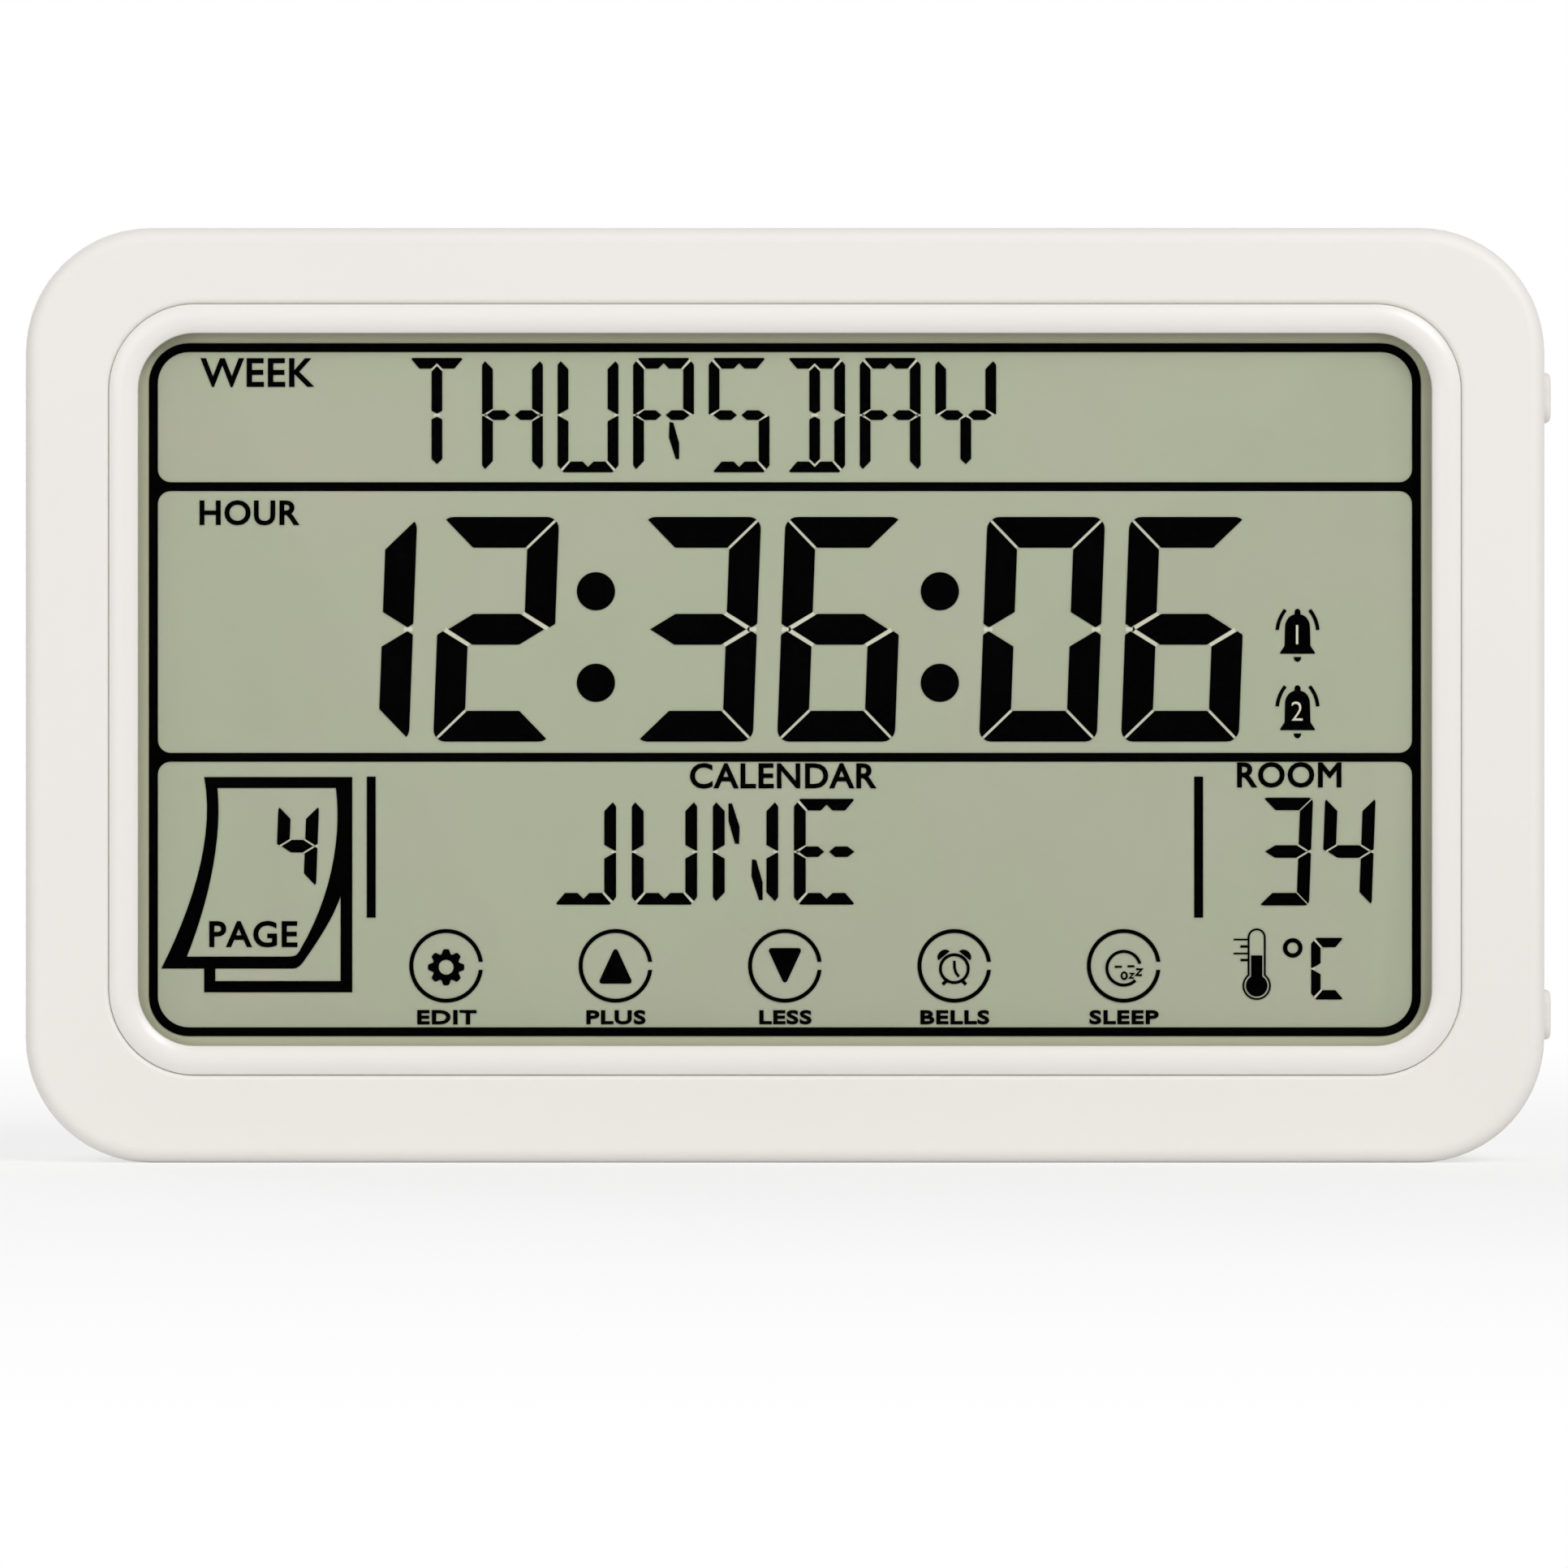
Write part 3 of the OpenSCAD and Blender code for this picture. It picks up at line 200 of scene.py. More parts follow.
# Way round the window; the film's tail leaves between its first two points, under the lip
corner_r = 6.1 * mm
corner_x = ring_high.x - bead_w - lip_w - corner_r
corner_z = ring_high.z - view_z - bead_w - lip_w - corner_r
tail_x, tail_half = -30 * mm, 6.5 * mm
corner_steps = 24
way = [(tail_x - tail_half, -corner_z, -90), (tail_x + tail_half, -corner_z, -90)]
for side_x, side_z, start in ((1, -1, -90), (1, 1, 0), (-1, 1, 90), (-1, -1, 180)):
    way += [(side_x * corner_x, side_z * corner_z, start + 90 * i / corner_steps)
            for i in range(corner_steps + 1)]
ring_mesh = bmesh.new()
loops = []
for x, z, turn in way:
    out_x, out_z = math.cos(math.radians(turn)), math.sin(math.radians(turn))
    loops.append([ring_mesh.verts.new((x + out_x * (corner_r + out), y,
                                       view_z + z + out_z * (corner_r + out)))
                  for out, y in ring_section])
ring_wall(ring_mesh, loops[0][1:-1], loops[1][1:-1])
for loop in loops[:2]:
    ring_mesh.faces.new((loop[0], loop[1], loop[-2], loop[-1]))
for lower, upper in zip(loops[1:], loops[2:] + loops[:1]):
    ring_wall(ring_mesh, lower, upper)
soften(ring_mesh)
trim_ring = finish_piece("crowned_trim_ring", ring_mesh, polished_abs)
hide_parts("window_ring")

# Window: a flat pane of clear acrylic with a coating against glare, set back in the ring,
# with the clear touch film stuck to its back and a flat tail that runs to the board. Where
# the two are glued there is no air between them, so that plane neither mirrors nor shows.
glue_y = pane_high.y
glue_t = 0.01 * mm


def along(tree, axis):
    """Place along one axis of the frame, in metres."""
    place = add_node(tree, "ShaderNodeTexCoord").outputs["Object"]
    return add_node(tree, "ShaderNodeSeparateXYZ", {0: place}).outputs[axis]


def clear_sheet(name, colour, rough, facing_alpha, edge_alpha):
    """Clear plastic or glass: nearly unseen face on, and glossy where it is seen aslant."""
    material, tree, shader = new_material(name, {"IOR": 1.49})
    place = add_node(tree, "ShaderNodeTexCoord").outputs["Object"]
    haze = add_node(tree, "ShaderNodeTexNoise", {"Vector": place, "Scale": 1 / (25 * mm)})
    two_tone(tree, shader, haze, colour, "#080808")
    gloss = add_node(tree, "ShaderNodeMapRange", {"Value": haze, "To Min": rough, "To Max": rough * 1.5})
    slant = add_node(tree, "ShaderNodeLayerWeight", {"Blend": 0.5})
    slant = add_node(tree, "ShaderNodeMath", {0: slant.outputs["Facing"], 1: 5.0}, operation="POWER")
    alpha = add_node(tree, "ShaderNodeMapRange", {
        "Value": slant, "To Min": facing_alpha, "To Max": edge_alpha})
    glued = add_node(tree, "ShaderNodeMath", {
        0: along(tree, "Y"), 1: glue_y, 2: glue_t}, operation="COMPARE")
    alpha = add_node(tree, "ShaderNodeMapRange", {"Value": glued, "To Min": alpha, "To Max": 0.0})
    feed(shader, {"Roughness": gloss, "Alpha": alpha})
    return material


# Coated acrylic: face on it all but vanishes, and it mirrors the room only at a slant.
# Its own colour is dark, because what is not reflected goes straight through.
dress(clear_sheet("coated_acrylic", "#0a0f0c", rough=0.05, facing_alpha=0.006, edge_alpha=0.3),
      "display_window")
# Polyester film: a trace of straw colour.
dress(clear_sheet("polyester_film", "#14100a", rough=0.12, facing_alpha=0.004, edge_alpha=0.05),
      "touch_film")

# Display face: the front polariser of a reflective liquid-crystal cell, a grey-green sheet
# with a matt skin. The light falls through it on the reflector and comes back softened.

# Polariser: grey-green with faint patches that lean to straw and to leaf green. The border around the frame
# lines is painted a shade paler and yellower: painted light against the shade that the trim ring casts into
# the recess.
polariser = mottled(
    "reflective_polariser", {"IOR": 1.45, "Specular IOR Level": 0.2}, ("#b1b19d", "#aab397"),
    patch=14 * mm, rough=(0.55, 0.65), grain=0.5 * mm, depth=0.004 * mm)
tree = polariser.node_tree
shader = tree.nodes["Principled BSDF"]
segment_low, segment_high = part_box("lcd_segments")
frame_r, under_line = 4.3 * mm, 0.3 * mm
frame_half = (segment_high - segment_low) / 2 - Vector((frame_r, -1.0, frame_r))
frame_mid, zero = (segment_low + segment_high) / 2, Vector()
offset = add_node(tree, "ShaderNodeTexCoord").outputs["Object"]
for operation, other in (("SUBTRACT", frame_mid), ("ABSOLUTE", zero), ("SUBTRACT", frame_half),
                         ("MAXIMUM", zero), ("LENGTH", zero)):
    offset = add_node(tree, "ShaderNodeVectorMath", {0: offset, 1: other}, operation=operation)
# Painted light: the border outside the frame lines gets a paler colour in place of light, lifting the
# ring's shade there.
painted_light_border = add_node(tree, "ShaderNodeMath", {
    0: offset.outputs["Value"], 1: frame_r - under_line}, operation="GREATER_THAN")
patches = shader.inputs["Base Color"].links[0].from_socket
mix = add_node(tree, "ShaderNodeMix", {0: painted_light_border, 6: patches, 7: srgb("#c2c4a6")}, data_type="RGBA")
feed(shader, {"Base Color": mix.outputs[2]})
dress(polariser, "lcd_front_polariser")

# Dark segments: the lit bars, frame lines and rings of the display. They lie in the liquid
# crystal just behind the front glass and are modelled as thin dark plates on the polariser.

# Turned liquid crystal: no light comes back, so it is black with barely a sheen.
dark_crystal = mottled(
    "dark_liquid_crystal", {"IOR": 1.3, "Specular IOR Level": 0.01}, ("#010101", "#040404"),
    patch=6 * mm, rough=(0.6, 0.7), grain=0.5 * mm, depth=0.003 * mm)
dress(dark_crystal, "lcd_segments")

# Between two lit bars a hair of the bright reflector shows, paler than the field around it.
pale_crystal = mottled(
    "pale_liquid_crystal", {"IOR": 1.45, "Specular IOR Level": 0.2}, ("#d0d0b9", "#d7d7c4"),
    patch=6 * mm, rough=(0.55, 0.65), grain=0.5 * mm, depth=0.003 * mm)

ink_front = segment_low.y
ink_back = segment_high.y
gap_front = ink_back - 0.03 * mm
pale_front = ink_front - 0.02 * mm


def on_display(point, y):
    """Place in the frame of a point given in millimetres from the window's centre."""
    return Vector((point[0] * mm, y, view_z + point[1] * mm))


def plate_faces(mesh, y_front, y_back, shape):
    """Add a thin closed plate to a mesh; a shape is an outline followed by its holes."""
    rings = [[Vector((u, v, 0)) for u, v in ring] for ring in shape]
    points = [point for ring in rings for point in ring]
    fronts = [mesh.verts.new(on_display(point, y_front)) for point in points]
    backs = [mesh.verts.new(on_display(point, y_back)) for point in points]
    for a, b, c in tessellate_polygon(rings):
        mesh.faces.new((fronts[a], fronts[b], fronts[c]))
        mesh.faces.new((backs[c], backs[b], backs[a]))
    start = 0
    for ring in rings:
        count = len(ring)
        for i in range(count):
            a = start + i
            b = start + (i + 1) % count
            mesh.faces.new((fronts[a], backs[a], backs[b], fronts[b]))
        start += count


def inlay(name, shapes, material, y_front, y_back):
    """Set of thin plates on the display as one piece."""
    mesh = bmesh.new()
    for shape in shapes:
        plate_faces(mesh, y_front, y_back, shape)
    finish_piece(name, mesh, material)


# Letter cells: each letter of the day, month and unit is a cell of bars, of which some are lit.
# The bars are etched in the same film as the figures, with pale hairlines between.


def flipped(points, w, h, flip_u, flip_v):
    """Points of a cell turned over left to right, or top to bottom, or both."""
    return [(w - u if flip_u else u, h - v if flip_v else v) for u, v in points]


def moved(points, u, v, scale=1.0):
    """Points scaled, and then moved across and up."""
    return [(u + scale * p, v + scale * q) for p, q in points]


def cell_bars(w, h, notched):
    """Outlines of a cell's bars, with all lengths in bar widths.

    They are a top, b c right, d foot, e f left, g h middle, i j centre and k l legs.
    """
    mid, waist = w / 2, h / 2
    notch = [(mid + 0.5, h - 1), (mid, h - 0.5), (mid - 0.5, h - 1)] if notched else []
    top = [(0.45, h - 0.12), (0.55, h), (w - 0.55, h), (w - 0.45, h - 0.12), (w - 1.2, h - 1), *notch,
           (1.2, h - 1)]
    side = [(0, h - 0.65), (0.28, h - 0.3), (1, h - 1.05), (1, waist + 0.58), (0.1, waist + 0.07),
            (0, waist + 0.1)]
    half = [(0.4, waist), (1, waist + 0.45), (mid - 0.73, waist + 0.45), (mid - 0.2, waist),
            (mid - 0.73, waist - 0.45), (1, waist - 0.45)]
    centre = [(mid, h - 0.75), (mid + 0.5, h - 1.25), (mid + 0.5, waist + 0.4), (mid, waist + 0.14),
              (mid - 0.5, waist + 0.4), (mid - 0.5, h - 1.25)]
    leg = [(mid + 0.55, waist - 0.65), (mid + 0.9, waist - 0.7), (mid + 1.45, waist - 2.6),
           (mid + 1.45, waist - 4.1), (mid + 1.15, waist - 4.1), (mid + 0.5, waist - 2.1)]
    return {
        "a": top, "d": flipped(top, w, h, False, True),
        "f": side, "b": flipped(side, w, h, True, False),
        "e": flipped(side, w, h, False, True), "c": flipped(side, w, h, True, True),
        "g": half, "h": flipped(half, w, h, True, False),
        "i": centre, "j": flipped(centre, w, h, False, True),
        "k": leg, "l": flipped(leg, w, h, True, True),
    }


def stroke(points, width):
    """Outline of a line of even width through some points, with square ends."""
    points = [Vector(point) for point in points]
    sides = []
    for i, point in enumerate(points):
        ahead = (points[min(i + 1, len(points) - 1)] - point).normalized()
        behind = (point - points[max(i - 1, 0)]).normalized()
        heading = (ahead + behind).normalized()
        reach = width / 2 / max(0.5, heading.dot(ahead if ahead.length else behind))
        sides.append(Vector((-heading.y, heading.x)) * reach)
    left = [tuple(p + n) for p, n in zip(points, sides)]
    right = [tuple(p - n) for p, n in zip(points, sides)]
    return left + right[::-1]


across = {"a": "a", "f": "b", "e": "c", "g": "h", "i": "i", "j": "j"}
down = {"a": "d", "f": "e", "b": "c", "g": "g", "h": "h", "i": "j", "e": "f", "c": "b", "j": "i"}


def hairlines(joints, lit, w, h, width):
    """Pale lines between lit bars; joints are drawn for the upper left and turned over."""
    lines = {}
    for flip_u, flip_v in ((False, False), (False, True), (True, False), (True, True)):
        for first, second, points in joints:
            pair = [across[bar] if flip_u else bar for bar in (first, second)]
            pair = frozenset(down[bar] if flip_v else bar for bar in pair)
            if pair <= set(lit) and pair not in lines:
                lines[pair] = stroke(flipped(points, w, h, flip_u, flip_v), width)
    return list(lines.values())


def cell_joints(w, h):
    """Pairs of bars of a letter cell that meet, with the line between them, in bar widths."""
    mid, waist = w / 2, h / 2
    return [
        ("a", "f", [(0.36, h - 0.22), (1.1, h - 1.02)]),
        ("f", "e", [(0.02, waist), (0.4, waist)]),
        ("f", "g", [(0.22, waist + 0.04), (1.02, waist + 0.52)]),
        ("a", "i", [(mid - 0.5, h - 1.12), (mid, h - 0.62), (mid + 0.5, h - 1.12)]),
        ("i", "j", [(mid - 0.3, waist), (mid + 0.3, waist)]),
        ("g", "i", [(mid - 0.62, waist + 0.43), (mid - 0.08, waist + 0.06)]),
    ]


lit_bars = {"T": "aij", "H": "bcefgh", "U": "bcdef", "R": "abefghk", "S": "acdfgh", "D": "abcdij",
            "A": "abcefgh", "Y": "bfghj", "J": "bcd", "N": "bcefkl", "E": "adefgh", "C": "adef"}
hairline = 0.3


def readout(text, u, v, pitch, w, h, bar_w, notched=True):
    """Dark bars and pale hairlines of a row of letter cells from its lower left corner."""
    w, h = w / bar_w, h / bar_w
    bars = cell_bars(w, h, notched)
    dark = []
    pale = []
    for i, letter in enumerate(text):
        lit = lit_bars[letter]
        lines = hairlines(cell_joints(w, h), lit, w, h, hairline / bar_w)
        dark += [[moved(bars[bar], u + i * pitch, v, bar_w)] for bar in lit]
        pale += [[moved(line, u + i * pitch, v, bar_w)] for line in lines]
    return dark, pale


day_dark, day_pale = readout("THURSDAY", u=-40.52, v=23.28, pitch=8.09, w=6.51, h=12.25, bar_w=1.15)
month_dark, month_pale = readout("JUNE", u=-25.07, v=-23.02, pitch=8.68, w=6.99, h=11.34, bar_w=1.26)
unit_dark, unit_pale = readout("C", u=56.35, v=-33.18, pitch=0.0, w=3.81, h=6.61, bar_w=1.01,
                               notched=False)
inlay("display_letters", day_dark + month_dark + unit_dark, dark_crystal, ink_front, ink_back)

# Figure hairlines: the same pale lines at the corners of the time, temperature and date
# figures, whose bars are cut in the frame's own display plate.


def figure_joints(h):
    """Pairs of bars of a seven-bar figure that meet, with the line between them, in bar widths."""
    return [
        ("a", "f", [(0.14, h - 0.14), (1, h - 1)]),
        ("f", "e", [(0.02, h / 2), (0.3, h / 2)]),
        ("f", "g", [(0.24, h / 2 + 0.02), (1.06, h / 2 + 0.5)]),
    ]


figure_bars = {"0": "abcdef", "1": "bc", "2": "abdegh", "3": "abcdgh", "4": "bcfgh", "6": "acdefgh"}
lean = 0.0375


def figure_lines(value, u, v, w, h, bar_w, width):
    """Pale lines of one leaning figure from its lower left corner."""
    w, h = w / bar_w, h / bar_w
    lines = hairlines(figure_joints(h), figure_bars[value], w, h, width / bar_w)
    leaning = [[(p + lean * (q - h / 2), q) for p, q in line] for line in lines]
    return [[moved(line, u, v, bar_w)] for line in leaning]


time_w, time_h, time_bar = 12.6, 24.06, 3.3
time_u, time_v = -52.42, -5.56
figure_pitch, pair_pitch = 15.2, 36.83
wide_line, fine_line = 0.5, 0.26
figure_pale = []
for pair, digits in enumerate(("12", "36", "06")):
    for i, digit in enumerate(digits):
        corner_u = time_u + pair * pair_pitch + i * figure_pitch
        figure_pale += figure_lines(digit, corner_u, time_v, time_w, time_h, time_bar, wide_line)
small_bar = 1.35
temp_u, temp_pitch = 50.94, 6.7
for i, digit in enumerate("34"):
    figure_pale += figure_lines(digit, temp_u + i * temp_pitch, v=-23.1, w=5.4, h=11.55,
                                bar_w=small_bar, width=fine_line)
figure_pale += figure_lines("4", u=-54.4, v=-21.1, w=4.35, h=8.7, bar_w=small_bar, width=fine_line)
inlay("display_hairlines", day_pale + month_pale + unit_pale + figure_pale, pale_crystal,
      gap_front, ink_back)

# Display signs: the loose calendar leaf, thermometer, degree sign, bells and key pictures,
# all etched in the display film as single dark shapes.


def arc(u, v, r, start, end, steps=24):
    """Points on an arc, with its angles in degrees; r may be a pair for an oval."""
    ru, rv = r if isinstance(r, tuple) else (r, r)
    turns = [math.radians(start + (end - start) * i / steps) for i in range(steps + 1)]
    return [(u + ru * math.cos(a), v + rv * math.sin(a)) for a in turns]


def circle(u, v, r, steps=40):
    """Points of a whole circle or oval, without the first one repeated."""
    return arc(u, v, r, 0, 360, steps)[:-1]


# The calendar: a leaf that curls to the lower left, in front of a square pad
leaf_outline = (
    [(-46.33, -9.35), (-46.33, -32.4), (-62.19, -32.4), (-62.19, -29.86)]
    + bend((-66.78, -29.86), (-63.4, -23.2), (-61.0, -15.5), (-62.19, -9.35)))
leaf_window = (
    bend((-64.04, -28.58), (-61.8, -23.0), (-60.2, -16.0), (-60.77, -10.53))
    + bend((-48.09, -10.53), (-47.5, -15.2), (-48.3, -21.8), (-52.0, -28.0))
    + bend((-52.1, -28.15), (-52.3, -28.5), (-52.7, -28.58), (-53.2, -28.58), 5))
pad_window = (
    [(-47.58, -31.2), (-61.0, -31.2), (-61.0, -29.86)]
    + bend((-52.74, -29.86), (-52.3, -29.86), (-52.0, -29.7), (-51.6, -29.2), 5)
    + bend((-51.4, -28.9), (-50.3, -27.3), (-48.4, -24.6), (-47.58, -22.1)))
calendar = [leaf_outline, leaf_window, pad_window]


def bulb_outline(u, v, r, half, top, round_top):
    """Outline of a bulb with a straight neck of the given half width up to its top."""
    neck = math.degrees(math.asin(half / r))
    outline = arc(u, v, r, 90 + neck, 450 - neck, 36)
    if round_top:
        return outline + arc(u, top - half, half, 0, 180, 16)
    return outline + [(u + half, top), (u - half, top)]


glass_u, bulb_v = 50.52, -31.7
thermometer = [bulb_outline(glass_u, bulb_v, 1.52, 0.965, -25.56, True),
               bulb_outline(glass_u, bulb_v, 1.33, 0.765, -25.76, True)]
mercury = [bulb_outline(glass_u, bulb_v, 1.15, 0.6, -28.45, False)]
marks = [[stroke([(start, v), (49.6, v)], line)] for start, v, line in (
    (48.05, -26.75, 0.18), (48.78, -27.5, 0.26), (48.05, -28.25, 0.18), (48.78, -28.95, 0.26))]
degree = [circle(54.38, -27.65, 1.05), circle(54.38, -27.65, 0.585)]


def bell(u, v):
    """Bell with its rim at u, v: body, clapper and an arc of sound on each side."""
    half = ([(1.87, 0), (1.87, 0.12), (1.55, 0.6)]
            + bend((1.38, 0.85), (1.36, 1.6), (1.36, 2.3), (1.33, 2.9), 6)
            + bend((1.3, 3.2), (1.15, 3.8), (0.75, 4.15), (0.33, 4.2), 8)
            + [(0.31, 4.55)] + arc(0, 4.5, 0.31, 0, 80, 5))
    body = half + [(-p, q) for p, q in reversed(half)]
    clapper = arc(0, -0.35, (0.4, 0.52), 180, 360, 12)
    ring = bend((1.3, 4.7), (1.85, 4.0), (2.1, 3.3), (2.17, 2.55), 10)
    shapes = [body, clapper, stroke(ring, 0.38), stroke([(-p, q) for p, q in ring], 0.38)]
    return [[moved(shape, u, v)] for shape in shapes]


bell_u = 54.89
bell_rims = (3.85, -4.33)
bells = [shape for rim in bell_rims for shape in bell(bell_u, rim)]


def gear_radius(turn):
    """Radius of an eight-toothed gear wheel with round teeth at an angle."""
    return 1.71 + 0.23 * max(-1.0, min(1.0, 0.45 + 1.6 * math.cos(8 * turn)))


# Key pictures, each drawn about the middle of its touch ring
gear_turns = [math.radians(i * 2.5) for i in range(144)]
gear_rim = [(gear_radius(a) * math.cos(a), gear_radius(a) * math.sin(a) - 0.15) for a in gear_turns]
gear = [[gear_rim, circle(0, -0.15, 0.8, 28)]]
soft = 0.28
rise = [[arc(0, 1.77 - soft, soft, 155, 25, 6) + arc(1.72 - soft, soft - 1.91, soft, 25, -90, 6)
         + arc(soft - 1.72, soft - 1.91, soft, -90, -205, 6)]]
fall = [[[(p, -q) for p, q in rise[0][0]]]]
clock_v = -0.3
ear_turn, ear_out = Matrix.Rotation(math.radians(129), 2), 1.75
ear = [tuple(ear_turn @ Vector((ear_out + q, p)) + Vector((0, clock_v)))
       for p, q in arc(0, 0, (0.76, 0.62), 0, 180, 16)]
alarm = [
    [circle(0, clock_v, 1.65), circle(0, clock_v, 1.33)],
    [ear], [[(-p, q) for p, q in ear]],
    [stroke([(-0.85, clock_v - 1.3), (-1.25, clock_v - 1.7)], 0.36)],
    [stroke([(0.85, clock_v - 1.3), (1.25, clock_v - 1.7)], 0.36)],
    [stroke([(0.0, 0.55), (0.02, -0.25), (0.18, -0.75), (0.5, -1.15)], 0.28)],
]
face_v = -0.26
sleeper = [
    [stroke(arc(0, face_v, 1.8, 16, 314, 60), 0.33)],
    [stroke([(-0.95, -0.1), (-0.2, -0.1)], 0.22)],
    [stroke([(0.4, -0.05), (1.15, -0.05)], 0.22)],
    [circle(0.05, -1.06, (0.39, 0.47), 24), circle(0.05, -1.06, (0.18, 0.25), 24)],
    [stroke([(0.62, -0.82), (1.07, -0.82), (0.62, -1.3), (1.07, -1.3)], 0.18)],
    [stroke([(1.33, -0.36), (1.95, -0.36), (1.33, -1.0), (1.95, -1.0)], 0.22)],
]
key_pitch, key_v = 18.14, -29.57
pictures = []
for place, shapes in enumerate((gear, rise, fall, alarm, sleeper), start=-2):
    pictures += [[moved(ring, place * key_pitch, key_v) for ring in shape] for shape in shapes]
inlay("display_signs", [calendar, thermometer, mercury, degree] + marks + bells + pictures,
      dark_crystal, ink_front, ink_back)

# Display words: plain captions over each field and under each key, etched in the display
# film beside the figures, and the pale numbers on the two bells.


def word_faces(mesh, y_front, y_back, text, u, v, height, widen, weight):
    """Add a word to a mesh, its foot at v and its middle at u, with its strokes fattened by a weight."""
    curve = bpy.data.curves.new("word", "FONT")
    curve.body = text
    curve.align_x = "CENTER"
    curve.space_character = 1.0 + 0.8 * weight
    curve.resolution_u = 4
    curve.extrude = 0.5
    holder = bpy.data.objects.new("word", curve)
    bpy.context.scene.collection.objects.link(holder)
    solid = bpy.data.meshes.new_from_object(holder.evaluated_get(bpy.context.evaluated_depsgraph_get()))
    bpy.data.objects.remove(holder)
    bpy.data.curves.remove(curve)
    letters = bmesh.new()
    letters.from_mesh(solid)
    bpy.data.meshes.remove(solid)
    bmesh.ops.remove_doubles(letters, verts=letters.verts, dist=0.0005)
    foot = min(vert.co.y for vert in letters.verts)
    cap = max(vert.co.y for vert in letters.verts) - foot
    size = (height - 2 * weight) / cap
    for vert in letters.verts:
        vert.co.x *= size * widen
        vert.co.y = weight + (vert.co.y - foot) * size
    bmesh.ops.recalc_face_normals(letters, faces=letters.faces)
    for vert in letters.verts:
        walls = [face.normal.xy for face in vert.link_faces if abs(face.normal.z) < 0.5]
        other = min(walls, key=walls[0].dot)
        shift = (walls[0] + other) * weight / max(0.4, 1 + walls[0].dot(other))
        place = (u + vert.co.x + shift.x, v + vert.co.y + shift.y)
        vert.co = on_display(place, y_front if vert.co.z > 0 else y_back)
    placed = bpy.data.meshes.new("word")
    letters.to_mesh(placed)
    letters.free()
    mesh.from_mesh(placed)
    bpy.data.meshes.remove(placed)


words = bmesh.new()
for text, u, v, height in (("WEEK", -56.5, 32.4, 3.1), ("HOUR", -57.5, 17.6, 2.7),
                           ("CALENDAR", -0.3, -10.6, 2.75), ("ROOM", 54.0, -10.5, 2.75),
                           ("PAGE", -57.0, -27.6, 2.85)):
    word_faces(words, ink_front, ink_back, text, u, v, height, widen=1.0, weight=0.08)
for place, text in enumerate(("EDIT", "PLUS", "LESS", "BELLS", "SLEEP"), start=-2):
    word_faces(words, ink_front, ink_back, text, place * key_pitch, v=-35.85, height=1.55,
               widen=1.45, weight=0.09)
finish_piece("display_words", words, dark_crystal)
numbers = bmesh.new()
for text, rim in zip("12", bell_rims):
    word_faces(numbers, pale_front, ink_front, text, bell_u - 0.05, rim + 1.02, height=2.04,
               widen=0.95, weight=-0.02)
finish_piece("bell_numbers", numbers, pale_crystal)

# Display cell: two sheets of float glass with the liquid crystal sealed between them. The
# front sheet stands out at top and bottom for the contact strips.

# Float glass: clear, with the faint green of iron at its edges.
dress(clear_sheet("float_glass", "#1c2b22", rough=0.03, facing_alpha=0.04, edge_alpha=0.5),
      "lcd_front_glass", "lcd_rear_glass")

# Reflector: polyester foil coated with aluminium, laid behind the glass to send the light
# back through the display.


def brushed(name, colours, length, spacing, rough):
    """Metal with fine scratches that run along X, with their length and spacing in metres."""
    material, tree, shader = new_material(name, {"Metallic": 1.0})
    place = add_node(tree, "ShaderNodeTexCoord").outputs["Object"]
    drawn = add_node(tree, "ShaderNodeMapping", {
        "Vector": place, "Scale": (1 / length, 1 / spacing, 1 / spacing)})
    lines = add_node(tree, "ShaderNodeTexNoise", {"Vector": drawn, "Scale": 1.0, "Detail": 3.0})
    skin(tree, shader, lines, colours, rough, height=lines, strength=0.3, depth=0.01 * mm)
    return material


# Aluminised foil: a bright grey mirror, blurred along fine rolling lines.
foil = brushed("aluminised_foil", ("#d5d7d8", "#e6e7e8"),
               length=12 * mm, spacing=0.3 * mm, rough=(0.28, 0.36))
dress(foil, "lcd_reflector")

# Light guide: a slab of clear acrylic behind the reflector's half-mirror, with a print of
# white dots that lets the light of the side lamps out evenly.

# Printed acrylic: milky dots of 0.6 mm on a pale green edge-lit sheet.
guide, tree, shader = new_material("dot_printed_acrylic", {"IOR": 1.49, "Roughness": 0.2})
place = add_node(tree, "ShaderNodeTexCoord").outputs["Object"]
dot_pitch, dot_r = 1.2 * mm, 0.3 * mm
dots = add_node(tree, "ShaderNodeTexVoronoi", {"Vector": place, "Scale": 1 / dot_pitch, "Randomness": 0.2})
inside = add_node(tree, "ShaderNodeMath", {0: dots, 1: dot_r / dot_pitch}, operation="LESS_THAN")
two_tone(tree, shader, inside, "#dbe8df", "#fafaf5")
dress(guide, "backlight_guide")

# Side lamps: three small lamps soldered on a narrow strip, with their faces against the end
# of the light guide.
lamp_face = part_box("backlight_leds")[1].x

# Moulded lamp bodies: ivory plastic, with the yellow of the phosphor near the guide.
lamp_body, tree, shader = new_material("phosphor_and_ivory_plastic", {"IOR": 1.5, "Roughness": 0.35})
near = add_node(tree, "ShaderNodeMapRange", {
    "Value": along(tree, "X"), "From Min": lamp_face - 0.5 * mm, "From Max": lamp_face})
two_tone(tree, shader, near, "#efe9d8", "#e3c33c")
dress(lamp_body, "backlight_leds")

# Display holder: a moulded frame that keeps the glass, the guide and the strips in place
# and is clamped between the trim ring and the board.

# Grey ABS: the same moulding skin as the case, a little darker.
grey_abs = mottled("grey_abs", {"IOR": 1.53}, ("#d8d6d0", "#d1cfc9"),
                   patch=30 * mm, rough=(0.42, 0.52), grain=0.7 * mm, depth=0.02 * mm)
dress(grey_abs, "lcd_holder")

